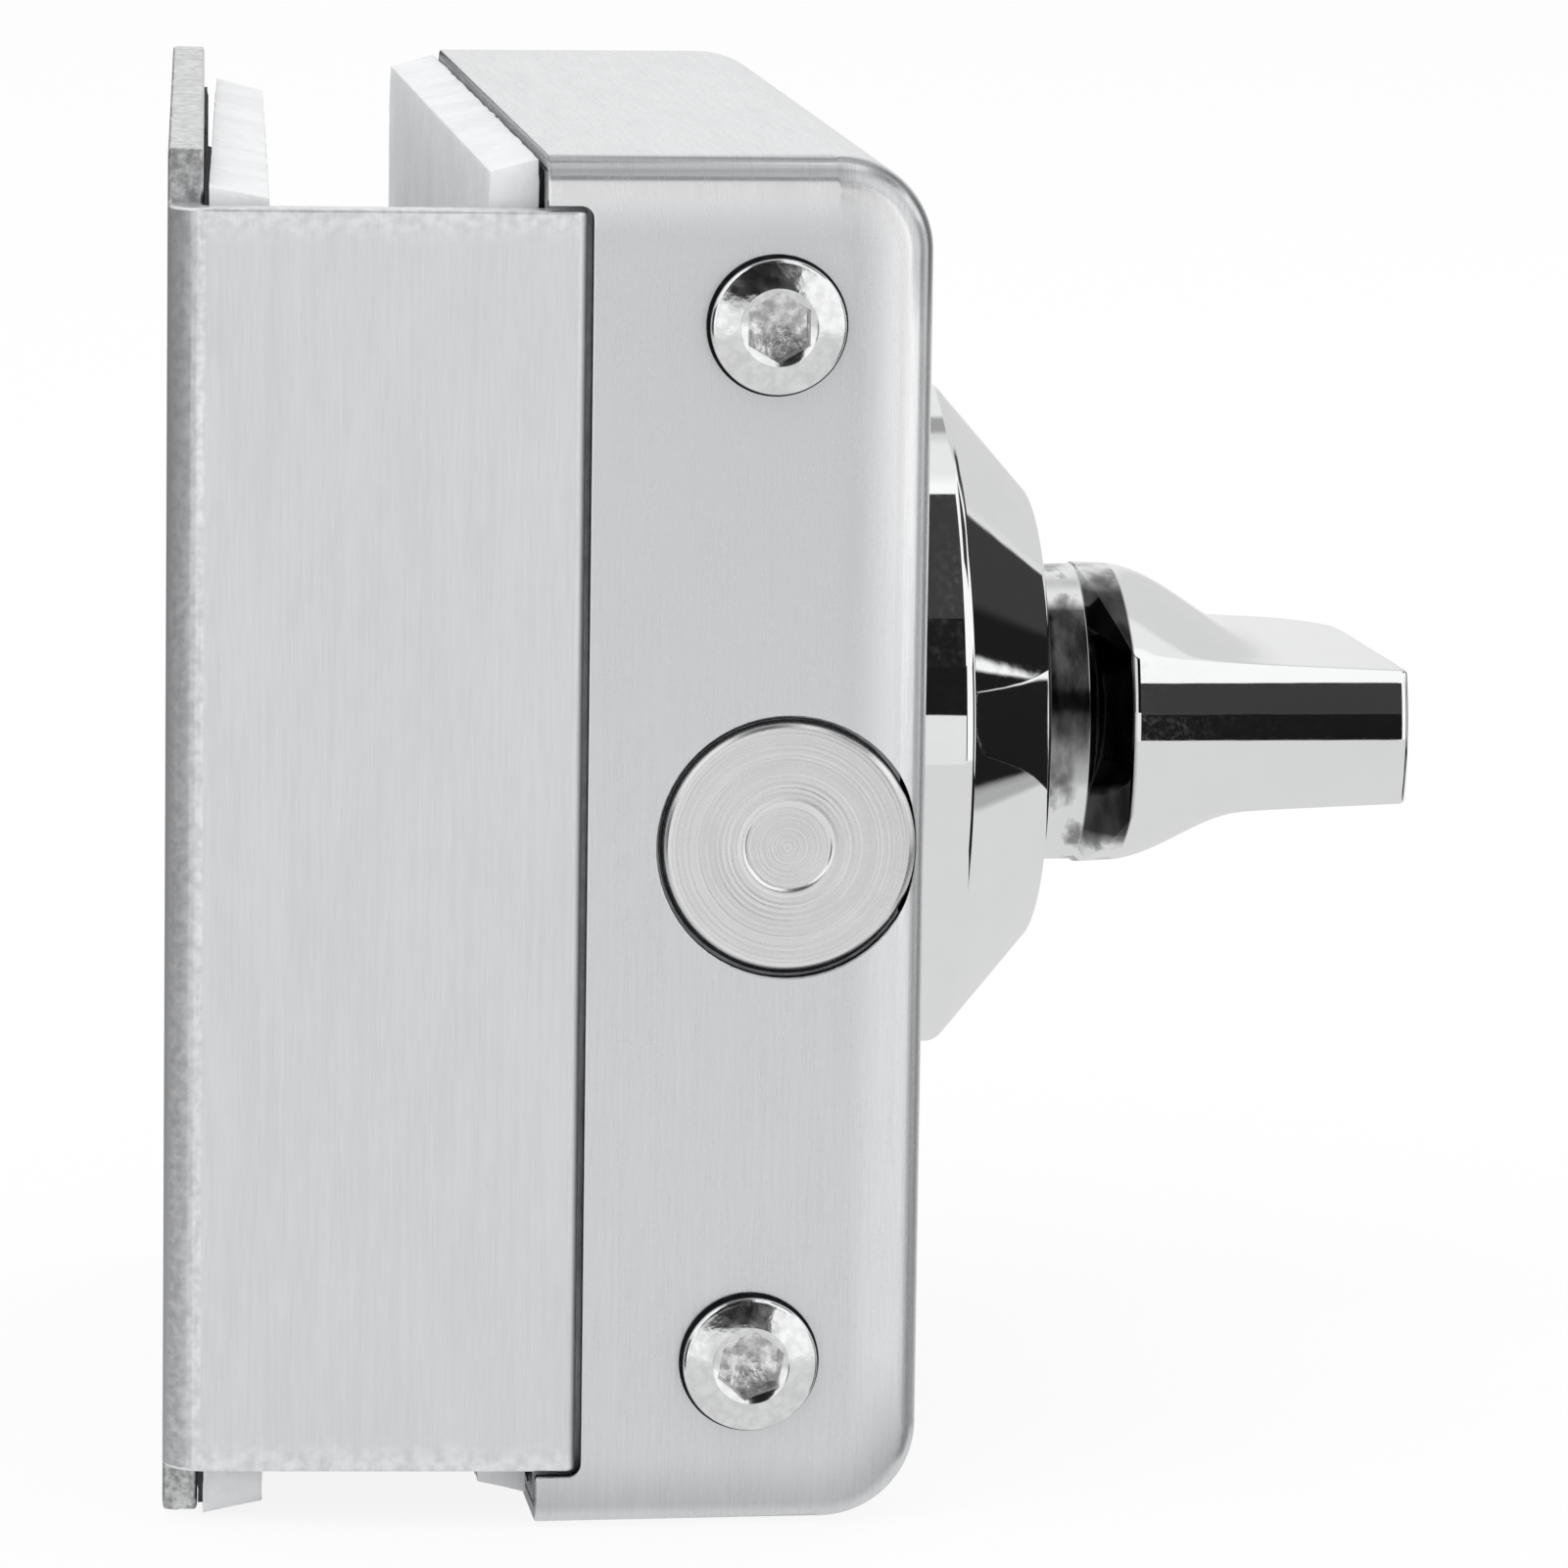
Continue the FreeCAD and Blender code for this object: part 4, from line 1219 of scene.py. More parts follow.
@dataclass
class Case:
    """The brushed cover and what it holds, all on the case body."""

    nodes: dict[str, Piece]
    finishes: Finishes
    sizes: LockSizes
    edge_round: float = 0.14
    fillet: float = 2.1
    cad_fillet: float = 1.4
    open_end: Place = (4.0, 9.5)
    crown_reach: float = 4.0
    crown_drop: float = 0.24
    rim_step: float = 0.3
    rim_steps: int = 7
    crown_step: float = 0.35
    crown_steps: int = 12
    skin: Place = (0.5, 0.9)
    bolt_hole: float = 8.4
    notch_gap: float = 0.2
    notch_top: float = 40.2
    gap_depth: float = 1.2
    gap_lean: float = 0.3

    def past_corner(self, point: Vector) -> Place:
        """How far a point lies past the centre of the end face's corner, sideways and in height."""
        side = point.x - (self.sizes.face - self.sizes.corner)
        rise = abs(point.z) - (self.sizes.top - self.sizes.corner)
        return side, rise

    def inside(self, point: Vector) -> float:
        """How far a point lies inside the end face's outline."""
        side, rise = self.past_corner(point)
        if side > 0.0 and rise > 0.0:
            return self.sizes.corner - math.hypot(side, rise)
        return self.sizes.corner - max(side, rise)

    def inward(self, point: Vector) -> Vector:
        """The direction in which a point of the rim moves away from the end face's outline."""
        side, rise = self.past_corner(point)
        if side > 0.0 and rise > 0.0:
            out = Vector((side, 0.0, math.copysign(rise, point.z)))
        elif side > rise:
            out = Vector((1.0, 0.0, 0.0))
        else:
            out = Vector((0.0, 0.0, math.copysign(1.0, point.z)))
        return -out.normalized()

    def shaped(self, point: Vector) -> Vector:
        """Where a point of the outer skin near the end face goes.

        Args:
            point: The point in millimetres.

        Returns:
            The point on the wider rounding and the crowned end face.
        """
        opening = ramp(point.x, *self.open_end)
        radius = self.cad_fillet + (self.fillet - self.cad_fillet) * opening
        inset = self.inside(point)
        depth = point.y - self.sizes.near
        moved = point.copy()
        spoke = Vector((inset - radius, depth - radius))
        if inset < radius and depth < radius and spoke.length > radius:
            rim = Vector((radius, radius)) + spoke.normalized() * radius
            moved += self.inward(point) * (rim.x - inset)
            moved.y += rim.y - depth
        fade = max(0.0, 1.0 - (moved.y - self.sizes.near) / radius)
        share = 1.0 - (inset - radius) / self.crown_reach
        moved.y += self.crown_drop * opening * fade * max(0.0, min(1.0, share)) ** 2
        return moved

    def in_gap(self, face: bpy.types.MeshPolygon) -> bool:
        """Whether a face is a wall of the bolt's hole or of the notch, near the end face.

        Args:
            face: The face.

        Returns:
            Whether it is one.
        """
        middle = face.center / MM
        near = middle.y < self.sizes.near + self.gap_depth and abs(face.normal.y) < self.gap_lean
        hole = math.hypot(middle.x - self.sizes.bolt_x, middle.z) < self.bolt_hole
        notch = middle.x < self.sizes.notch + self.notch_gap and abs(middle.z) < self.notch_top
        return near and (hole or notch)

    def cover(self) -> None:
        """Soften the cover's cut edges and crown its end face."""
        copy = CadCopy(self.nodes["cover"])
        copy.soften(self.edge_round)
        rims = [self.rim_step * step for step in range(1, self.rim_steps + 1)]
        insets = rims + [self.fillet + self.crown_step * step for step in range(1, self.crown_steps + 1)]
        heights = [self.sizes.top - inset for inset in insets]
        copy.divide((0, 0, 1), heights + [-height for height in heights])
        copy.divide((1, 0, 0), [self.sizes.face - inset for inset in insets])
        copy.divide((0, 1, 0), [self.sizes.near + rim for rim in rims])
        for vertex in copy.work.verts:
            point = vertex.co / MM
            if point.y < self.sizes.near + self.fillet and self.outer_skin(point):
                vertex.co = self.shaped(point) * MM
        piece = copy.piece("case_cover")
        dress(piece, self.finishes.brushed, self.finishes.shadowed)
        for face in piece.data.polygons:
            face.material_index = 1 if self.in_gap(face) else 0
        settle(piece, Body.CASE, "brushed_case", "cover")

    def outer_skin(self, point: Vector) -> bool:
        """Whether a point near the end face lies on the cover's outside and not on its inner wall."""
        depth, inset = self.skin
        return point.y - self.sizes.near < depth or self.inside(point) < inset

    def hidden_work(self) -> None:
        """Give the lock work that stays as in the CAD model its metals."""
        plates = ("base_plate", "pinion_bridge", "drive_pinion")
        rings = ("spindle", "friction_washer", "retaining_ring")
        screws = ("block_screws", "housing_screws", "bridge_screws", "rose_screws", "clamp_screws")
        groups = (
            (plates + rings, self.finishes.plain),
            (screws + ("turn_set_screw",), self.finishes.bright),
            (("cover_blocks", "bolt_housing"), self.finishes.cast),
            (("turn_bush",), self.finishes.bronze),
            (("clamp_sleeves",), self.finishes.plain),
        )
        for names, material in groups:
            for name in names:
                dress(self.nodes[name], material)
                LOG.info("%s: kept from the CAD model", name)


@dataclass
class Pads:
    """The two milky pads and their tapes.

    The tape under the outer pad is pressed thin, and the pad reaches over it.
    """

    nodes: dict[str, Piece]
    finishes: Finishes
    sizes: LockSizes
    pressed: float = 0.52
    edge_round: float = 0.35
    edge_bend: float = 40.0
    edge_steps: int = 3
    back_depth: float = 0.4
    end_step: float = 0.45
    end_steps: int = 15
    flat_reach: float = 35.0
    near_band: Place = (3.3, 8.0)
    flat_start: float = 9.5
    far_gap: float = 1.5
    end_wear: Place = (38.0, 42.0)
    near_wear: Place = (-6.0, -3.5)
    even_wear: float = 0.25
    wear_depth: float = 0.16
    wear_cell: float = 1.4
    tape_reach: float = 42.0
    tape_near: float = 2.6
    tape_rows: int = 121
    tape_edge: float = 0.4
    tape_cell: float = 0.9

    def pad(self, node: str, name: str, body: Body, seed: float, thicker: float) -> None:
        """Round a pad's edges and give it an uneven, cut near end.

        Args:
            node: The CAD node.
            name: The piece's name.
            body: Its body.
            seed: A fixed number that sets its wear apart.
            thicker: How much thicker it shows on its back, over its tape, in millimetres.
        """
        copy = CadCopy(self.nodes[node])
        copy.soften(self.edge_round, self.edge_bend, self.edge_steps)
        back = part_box(node)[0].x + self.back_depth * MM
        for vertex in copy.work.verts:
            if vertex.co.x < back:
                vertex.co.x -= thicker * MM
        near, far = self.sizes.near, self.sizes.far
        insets = [self.end_step * step for step in range(1, self.end_steps + 1)]
        copy.divide((0, 0, 1), [-self.sizes.top + inset for inset in insets])
        copy.divide((0, 0, 1), [self.sizes.top - inset for inset in insets])
        copy.divide((0, 0, 1), spaced(-self.flat_reach, self.flat_reach, 60))
        copy.divide((0, 1, 0), spaced(near + self.near_band[0], near + self.near_band[1], 8))
        copy.divide((0, 1, 0), spaced(near + self.flat_start, far - self.far_gap, 50))

        def worn(point: Vector) -> float:
            """The share of the wear at a point."""
            ends = ramp(abs(point.z), *self.end_wear)
            front = ramp(-point.y, -near + self.near_wear[0], -near + self.near_wear[1])
            return self.even_wear + (1.0 - self.even_wear) * max(ends, front)

        copy.roughen(self.wear_depth, self.wear_cell, seed, worn)
        piece = copy.piece(name)
        dress(piece, self.finishes.pad)
        settle(piece, body, "white_pad", node)

    def tape(self, node: str, name: str, body: Body, seed: float, depth: float, thinner: float) -> None:
        """Give a tape a ragged edge.

        Args:
            node: The CAD node.
            name: The piece's name.
            body: Its body.
            seed: A fixed number that sets its edge apart.
            depth: How deep the edge is bitten, in millimetres.
            thinner: How much thinner it shows, in millimetres.
        """
        copy = CadCopy(self.nodes[node])
        copy.divide((0, 0, 1), spaced(-self.tape_reach, self.tape_reach, self.tape_rows))
        copy.divide((0, 1, 0), spaced(self.sizes.near + self.tape_near, self.sizes.far, self.tape_rows))
        low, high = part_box(node)
        middle = (low + high) / 2.0 / MM
        half = (high - low) / 2.0 / MM

        def edge(point: Vector) -> float:
            """One beside the tape's edge, and nothing elsewhere."""
            out = max(abs(point.y - middle.y) - half.y, abs(point.z - middle.z) - half.z)
            return 1.0 if out > -self.tape_edge else 0.0

        for vertex in copy.work.verts:
            if vertex.co.x / MM > middle.x:
                vertex.co.x -= thinner * MM
        copy.roughen(depth, self.tape_cell, seed, edge)
        piece = copy.piece(name)
        dress(piece, self.finishes.tape)
        settle(piece, body, "dark_tape", node)

    def build(self) -> None:
        """Build both pads and both tapes."""
        self.pad("inner_gasket", "inner_pad", Body.CASE, 3.1, 0.0)
        self.pad("outer_gasket", "outer_pad", Body.CLAMP, 7.7, self.pressed)
        self.tape("inner_gasket_tape", "inner_pad_tape", Body.CASE, 1.3, 0.3, 0.0)
        self.tape("outer_gasket_tape", "outer_pad_tape", Body.CLAMP, 5.9, 0.2, self.pressed)


@dataclass
class ClampPlate:
    """The bent plate, with the marks of the shear at its ends."""

    nodes: dict[str, Piece]
    finishes: Finishes
    sizes: LockSizes
    edge_round: float = 0.22
    edge_bend: float = 40.0
    edge_steps: int = 3
    end_rows: int = 14
    bend_span: Place = (-19.5, -14.0)
    bend_rows: int = 16
    long_rows: int = 150
    facet_rise: Place = (0.1, 0.5)
    facet_depth: Place = (-4.0, -3.4)
    end_rise: Place = (-0.5, -0.1)
    end_share: float = 0.7
    shear_depth: float = 0.22
    shear_cell: float = 0.8
    seed: float = 2.3

    def sheared(self, point: Vector) -> float:
        """How far the shear has torn the sheet.

        Args:
            point: A point of the sheet.

        Returns:
            The share of the full depth.
        """
        height, depth = abs(point.z), -point.y
        flange_top, top, near = self.sizes.flange_top, self.sizes.top, self.sizes.near
        facet = ramp(height, flange_top + self.facet_rise[0], flange_top + self.facet_rise[1])
        facet *= ramp(depth, -near + self.facet_depth[0], -near + self.facet_depth[1])
        return max(facet, self.end_share * ramp(height, top + self.end_rise[0], top + self.end_rise[1]))

    def build(self) -> None:
        """Soften the bent sheet, divide it and roughen its sheared ends."""
        copy = CadCopy(self.nodes["clamp_plate"])
        copy.soften(self.edge_round, self.edge_bend, self.edge_steps)
        flange_top = self.sizes.flange_top
        heights = spaced(flange_top + 0.2, self.sizes.top - 0.1, self.end_rows)
        for side in (-1.0, 1.0):
            copy.divide((0, 0, 1), [side * height for height in heights])
        copy.divide((1, 0, 0), spaced(*self.bend_span, self.bend_rows))
        copy.divide((0, 1, 0), spaced(self.sizes.near + 3.6, self.sizes.far + 1.0, self.long_rows))
        copy.roughen(self.shear_depth, self.shear_cell, self.seed, self.sheared)
        piece = copy.piece("clamp_plate_sheet")
        dress(piece, self.finishes.flange, self.finishes.sheared, self.finishes.cut)
        for face in piece.data.polygons:
            middle = face.center / MM
            near_end = face.normal.y < -0.5 and abs(middle.z) > flange_top
            edge = abs(face.normal.z) > 0.6 and abs(middle.z) > flange_top + 0.6
            face.material_index = 1 if near_end else 2 if edge else 0
        settle(piece, Body.CLAMP, "brushed_case", "clamp_plate")


@dataclass
class EndScrews:
    """The two low-headed socket screws in the end face."""

    finishes: Finishes
    sizes: LockSizes
    places: tuple[Triple, ...] = ((17.7, -58.0, 32.6), (16.8, -58.0, -32.6))
    seat: float = 4.4
    seat_height: float = 0.2
    head: float = 4.22
    height: float = 1.5
    edge: float = 0.28
    shoulder: float = 0.33
    shoulder_power: float = 1.15
    crown: float = 2.42
    rim: float = 2.34
    rim_drop: float = 0.05
    rim_slope: float = 0.3
    across: float = 3.85
    depth: float = 2.4
    drill: float = 0.35
    drill_rings: tuple[Place, ...] = ((0.93, 0.04), (0.5, 0.2))
    shank: float = 2.5
    length: float = 12.0
    thread_start: float = -0.6
    pitch: float = 0.8
    thread_depth: float = 0.42
    twist: float = 0.175
    spokes: int = 96
    edge_steps: int = 5
    ring_steps: int = 8

    def hexagon(self, angle: float) -> float:
        """The hexagon's radius in a direction, with a corner straight up."""
        side = math.radians(60.0)
        inside = (angle + side / 2.0) % side - side / 2.0
        return self.across / 2.0 / math.cos(abs(inside) - side / 2.0)

    def head_outline(self) -> list[Place]:
        """The head from its dark seat, a ring that carries a painted shadow, over the domed ring to the
        socket's rim.

        Returns:
            Heights above the end face and radii.
        """
        side_top = self.height - self.shoulder - self.edge
        points = [(0.0, self.seat), (self.seat_height, self.seat), (self.seat_height, self.head)]
        points += [(side_top, self.head)]
        for step in range(1, self.edge_steps + 1):
            angle = math.pi / 2.0 * step / self.edge_steps
            radius = self.head - self.edge * (1.0 - math.cos(angle))
            points.append((side_top + self.edge * math.sin(angle), radius))
        outer = self.head - self.edge
        for step in range(1, self.ring_steps + 1):
            share = step / self.ring_steps
            height = self.height - self.shoulder * (1.0 - share) ** self.shoulder_power
            points.append((height, outer + (self.crown - outer) * share))
        return points + [(self.height - self.rim_drop, self.rim)]

    def screw(self) -> Piece:
        """Build one screw that points along -Y with its seat at the origin.

        Returns:
            The screw.
        """
        shell = Shell()
        angles = [math.tau * step / self.spokes for step in range(self.spokes)]

        def loop(radii: Iterable[float], heights: Iterable[float]) -> list[int]:
            """Add a loop from a radius and a height at each angle."""
            spots = []
            for angle, reach, height in zip(angles, radii, heights):
                spots.append(Vector((reach * math.sin(angle), -height, reach * math.cos(angle))))
            return shell.ring(spots)

        def circle(height: float, radius: float) -> list[int]:
            """Add a level round loop."""
            return loop([radius] * self.spokes, [height] * self.spokes)

        floor = self.height - self.depth
        thread = []
        turns = int(self.length / self.pitch) - 1
        for step in range(turns):
            start = self.thread_start - step * self.pitch
            thread += [(start, self.shank), (start - self.pitch / 2.0, self.shank - self.thread_depth)]
        plain = [(-self.length, self.shank - 0.7), (-self.length + 0.5, self.shank - 0.2)]
        plain += list(reversed(thread)) + [(0.0, self.shank)] + self.head_outline()
        loops = [circle(*place) for place in plain]
        hexagon = [self.hexagon(angle) for angle in angles]
        rim_height = self.height - self.rim_drop
        loops.append(loop(hexagon, [rim_height - (self.rim - reach) * self.rim_slope for reach in hexagon]))
        loops.append(loop(hexagon, [floor] * self.spokes))
        loops += [circle(floor - sunk, self.across / 2.0 * share) for share, sunk in self.drill_rings]
        for first, second in zip(loops, loops[1:]):
            shell.bridge(first, second)
        shell.close(loops[0], Vector((0.0, self.length, 0.0)))
        shell.close(loops[-1], Vector((0.0, self.drill - floor, 0.0)))
        return shell.piece("end_screw_pattern")

    def away(self, middle: Vector) -> float:
        """A place's distance from the nearer screw's axis."""
        return min(math.hypot(middle.x - place[0], middle.z - place[2]) for place in self.places)

    def on_shadow_ring(self, face: bpy.types.MeshPolygon) -> bool:
        """Whether a face belongs to the dark ring under a head, which carries a painted shadow."""
        middle = face.center / MM
        return self.away(middle) > self.head - 0.02 and middle.y > self.sizes.near - self.seat_height - 0.35

    def in_socket(self, face: bpy.types.MeshPolygon) -> bool:
        """Whether a face is a wall or the floor of a socket.

        Args:
            face: The face.

        Returns:
            Whether it is one.
        """
        middle = face.center / MM
        top = self.sizes.near - self.height
        sunk = top + 0.5 < middle.y < top + self.depth + self.drill
        return sunk and self.away(middle) < self.across / 2.0 * 1.16 and middle.y < self.sizes.near + 1.4

    def build(self, tree: bpy.types.NodeTree) -> None:
        """Set the screw at its two places.

        Args:
            tree: The tree that repeats a screw.
        """
        pattern = self.screw()
        base = bpy.data.meshes.new("end_screw_places")
        base.from_pydata([Vector(place) * MM for place in self.places], [], [])
        mesh = grow(base, tree, "end_screws", Screw=pattern, Twist=self.twist, Material=self.finishes.bright)
        bpy.data.objects.remove(pattern)
        piece = finished_piece("end_screws", mesh)
        dress(piece, self.finishes.bright, self.finishes.shadowed, self.finishes.socket)
        for face in piece.data.polygons:
            # A painted shadow on the ring under each head, and a little painted shade in the sockets.
            face.material_index = 1 if self.on_shadow_ring(face) else 2 if self.in_socket(face) else 0
        settle(piece, Body.CASE, "bright_screw", "cover_screws")


@dataclass
class Bolt:
    """The round nose, turned on a lathe, and the toothed tail behind it."""

    nodes: dict[str, Piece]
    lathe: Lathe
    finishes: Finishes
    sizes: LockSizes
    radius: float = 8.0
    length: float = 30.0
    chamfer: float = 0.45
    spot: float = 2.75
    spot_depth: float = 0.12
    spot_wall: Place = (-0.12, 0.05)
    ring_step: float = 0.11
    ring_depth: float = 0.012
    deep_rings: tuple[float, float, float, float] = (2.8, 3.3, 4.2, 5.0)
    deeper: float = 2.5
    facets: int = 160

    def nose_outline(self) -> list[Place]:
        """The nose's outline from the middle of its end face to the middle of its back.

        Returns:
            Heights from the back face and radii.
        """
        top = self.length
        face: list[Place] = [(top - self.spot_depth, 0.0)]
        count = int((self.radius - self.chamfer - 0.1) / self.ring_step)
        begin, full, fading, end = self.deep_rings
        for step in range(1, count):
            radius = step * self.ring_step
            marked = 1.0 + self.deeper * ramp(radius, begin, full) * (1.0 - ramp(radius, fading, end))
            depth = self.ring_depth * marked * (0.5 + 0.5 * math.sin(step * 2.4) * math.cos(step * 0.37))
            wall = ramp(radius, self.spot + self.spot_wall[0], self.spot + self.spot_wall[1])
            sunk = self.spot_depth * (1.0 - wall)
            face.append((top - depth - sunk, radius))
        flat = self.radius - self.chamfer
        corners = [(top, flat - 0.3), (top, flat), (top - self.chamfer, self.radius)]
        corners += [(0.0, self.radius), (0.0, self.radius - 1.0)]
        return face + rounded_outline(corners, [0.0, 0.06, 0.1, 0.2, 0.0], 4) + [(0.0, 0.0)]

    def build(self) -> None:
        """Build the nose and cut the tail off the CAD bolt."""
        origin = (self.sizes.bolt_x, self.sizes.near + self.length, 0.0)
        outline = self.nose_outline()
        mesh = self.lathe.turn("bolt_nose", outline, self.facets, self.finishes.turned, origin, Axis.FORWARD)
        nose = finished_piece("bolt_nose", mesh)
        settle(nose, Body.BOLT, "turned_steel", "bolt")
        copy = CadCopy(self.nodes["bolt"])
        back = (self.sizes.near + self.length) * MM
        bmesh.ops.bisect_plane(
            copy.work,
            geom=copy.everything(),
            dist=MERGE_GAP,
            plane_co=Vector((0.0, back, 0.0)),
            plane_no=Vector((0.0, 1.0, 0.0)),
            clear_inner=True,
        )
        rim = [edge for edge in copy.work.edges if edge.is_boundary]
        bmesh.ops.holes_fill(copy.work, edges=rim, sides=0)
        bmesh.ops.recalc_face_normals(copy.work, faces=copy.work.faces)
        tail = copy.piece("bolt_rack")
        dress(tail, self.finishes.plain)
        settle(tail, Body.BOLT, "plain_steel", "bolt")


@dataclass
class Rose:
    """The polished cone round the thumb turn."""

    lathe: Lathe
    finishes: Finishes
    sizes: LockSizes
    height: float = 14.0
    radius: float = 22.5
    crease: float = 7.6
    crease_round: float = 0.9
    top: float = 15.1
    bore: float = 8.1
    boss: float = 10.6
    wall: float = 2.0
    facets: int = 256

    def build(self) -> None:
        """Turn the cone."""
        slope = (self.radius - self.top) / (self.height - self.crease)
        inside = self.radius - self.wall
        inner_crease = self.crease - self.wall / 2.0
        inner_top = self.height - self.wall
        corners = [
            (0.0, self.bore),
            (self.height, self.bore),
            (self.height, self.top),
            (self.crease, self.radius),
            (0.0, self.radius),
            (0.0, inside),
            (inner_crease, inside),
            (inner_top, inside - slope * (inner_top - inner_crease)),
            (inner_top, self.boss),
            (0.0, self.boss),
        ]
        radii = [0.1, 0.25, 1.3, self.crease_round, 0.12, 0.0, 0.0, 0.4, 0.4, 0.0]
        outline = rounded_outline(corners, radii, 8)
        origin = (self.sizes.face, 0.0, 0.0)
        mesh = self.lathe.turn("rose_cone", outline + outline[:1], self.facets, self.finishes.chrome, origin)
        piece = finished_piece("rose_cone", mesh)
        settle(piece, Body.CASE, "chrome", "rose")
        even_normals(piece)


@dataclass
class ThumbTurn:
    """The chrome turn: stem, collar, bevel and a blade that flows out of the collar."""

    finishes: Finishes
    sizes: LockSizes
    stem: float = 6.0
    stem_end: float = 24.35
    groove: Place = (24.95, 25.8)
    groove_depth: float = 0.5
    square: float = 7.1
    square_end: float = 45.55
    collar_radius: float = 10.1
    collar_round: float = 0.3
    bevel: float = 2.6
    radius: float = 13.6
    reach: float = 38.5
    root: float = 11.0
    tip: float = 9.1
    tip_round: float = 0.5
    far_round: float = 5.5
    lean: float = 0.05
    lean_start: float = 26.0
    crown: float = 0.1
    shoulder: float = 0.08
    fairing: Place = (19.6, 31.0)
    corner_power: float = 90.0
    corner_fade: Place = (1.6, 13.0)
    least_fade: float = 0.03
    bevel_soft: float = 0.25
    steepest: float = 84.0
    halvings: int = 40
    crowding: float = 1.6
    arc_steps: int = 20
    flat_steps: int = 24
    chamfer: float = 0.3
    neck_start: float = 26.5
    neck_rows: int = 24
    edge_rows: int = 5
    first_row: float = 0.12
    row_step: float = 0.14
    row_gap: float = 0.25
    collar_rows: int = 5
    close_rows: int = 24
    blade_rows: int = 52
    tip_rows: int = 7

    @property
    def start(self) -> float:
        """The blade's first height above the case's face."""
        return self.sizes.collar_end - self.sizes.face

    def outer(self, height: float) -> float:
        """The bevel's and the blade's radius.

        Args:
            height: Height above the case's face.

        Returns:
            The radius in millimetres.
        """
        rise = (self.radius - self.collar_radius) / self.bevel
        cone = self.collar_radius + (height - self.start) * rise
        soft = self.bevel_soft
        blend = max(soft - abs(cone - self.radius), 0.0) / soft
        return min(cone, self.radius) - blend * blend * soft / 4.0

    def face_radius(self, height: float, angle: float) -> float:
        """Distance from the axis to the blade's upper face.

        Args:
            height: Height above the case's face.
            angle: Angle above the level, in radians.

        Returns:
            The distance in millimetres.
        """
        along = (height - self.start) / (self.reach - self.start)
        half = (self.root + along * (self.tip - self.root)) / 2.0
        fall = max(0.0, min(1.0, (height - self.fairing[0]) / (self.fairing[1] - self.fairing[0])))
        roundness = (1.0 + math.cos(math.pi * fall)) / 2.0
        full = self.collar_radius + self.shoulder - self.root / 2.0
        crown = self.crown + roundness * (full - self.crown)
        wide = self.radius ** 2 - half ** 2
        arc = (wide + crown ** 2) / (2.0 * crown)
        middle = half + crown - arc
        return middle * math.sin(angle) + math.sqrt(max(arc ** 2 - (middle * math.cos(angle)) ** 2, 0.0))

    def corner(self, height: float) -> float:
        """The angle where the round edge meets the upper face."""
        low, high = 0.0, math.radians(self.steepest)
        for _ in range(self.halvings):
            middle = (low + high) / 2.0
            if self.face_radius(height, middle) > self.outer(height):
                low = middle
            else:
                high = middle
        return low

    def angles(self, height: float) -> list[float]:
        """The angles of a quarter section, closer together near its corner.

        Args:
            height: Height above the case's face.

        Returns:
            Angles from the level up to the top, in radians.
        """
        corner = self.corner(height)
        rest = math.pi / 2.0 - corner
        arc = [1.0 - (1.0 - step / self.arc_steps) ** self.crowding for step in range(self.arc_steps)]
        flat = [(step / self.flat_steps) ** self.crowding for step in range(self.flat_steps)]
        return [corner * share for share in arc] + [corner + rest * share for share in flat] + [math.pi / 2.0]

    def section(self, height: float, inset: float = 0.0) -> list[Place]:
        """A quarter of the blade's outline at a height.

        Args:
            height: Height above the case's face.
            inset: How far it is drawn in.

        Returns:
            Angles and radii from the level up to the top.
        """
        begin, full = self.corner_fade
        power = self.corner_power / max(ramp(height, self.start + begin, self.start + full), self.least_fade)
        result = []
        for angle in self.angles(height):
            near, away = sorted((self.outer(height), self.face_radius(height, angle)))
            reach = near * (1.0 + (near / away) ** power) ** (-1.0 / power)
            result.append((angle, reach - inset))
        return result

    def far_loss(self, height: float) -> float:
        """How much of the blade's far half width its rounded corner takes away at a height."""
        over = min(max(0.0, height - (self.reach - self.far_round)), self.far_round)
        return self.far_round - math.sqrt(self.far_round ** 2 - over ** 2)

    def around(self, x: float, quarter: Sequence[Place]) -> list[Vector]:
        """Mirror a quarter outline to a whole loop, rounded at the tip's far corner.

        Args:
            x: The loop's place along the axis.
            quarter: Angles and radii of the quarter outline.

        Returns:
            The loop's points.
        """
        height = x - self.sizes.face
        narrow = 1.0 - self.far_loss(height) / self.radius
        sloped = self.lean * ramp(height, self.lean_start, self.reach)
        points = []
        for turn, flip in ((0.0, 1), (math.pi, -1), (math.pi, 1), (math.tau, -1)):
            part = quarter[:-1] if flip > 0 else list(reversed(quarter))[:-1]
            for angle, reach in part:
                whole = turn + flip * angle
                side = reach * math.cos(whole)
                if side > 0.0:
                    side *= narrow
                points.append(Vector((x - sloped * (side + self.radius), side, reach * math.sin(whole))))
        return points

    def plain(self, radius: float, share: float) -> list[Place]:
        """A quarter circle whose angles lie between even ones and the blade's.

        Args:
            radius: Its radius.
            share: The blade's share in the angles.

        Returns:
            Angles and radii.
        """
        blade = self.angles(self.start + 0.1)
        count = len(blade) - 1
        even = [math.pi / 2.0 * step / count for step in range(count + 1)]
        return [(a + (b - a) * share, radius) for a, b in zip(even, blade)]

    def squared(self) -> list[Place]:
        """A quarter of the square hole's outline."""
        half = self.square / 2.0
        return [(angle, half / max(math.cos(angle), math.sin(angle))) for angle, _ in self.plain(1.0, 0.0)]

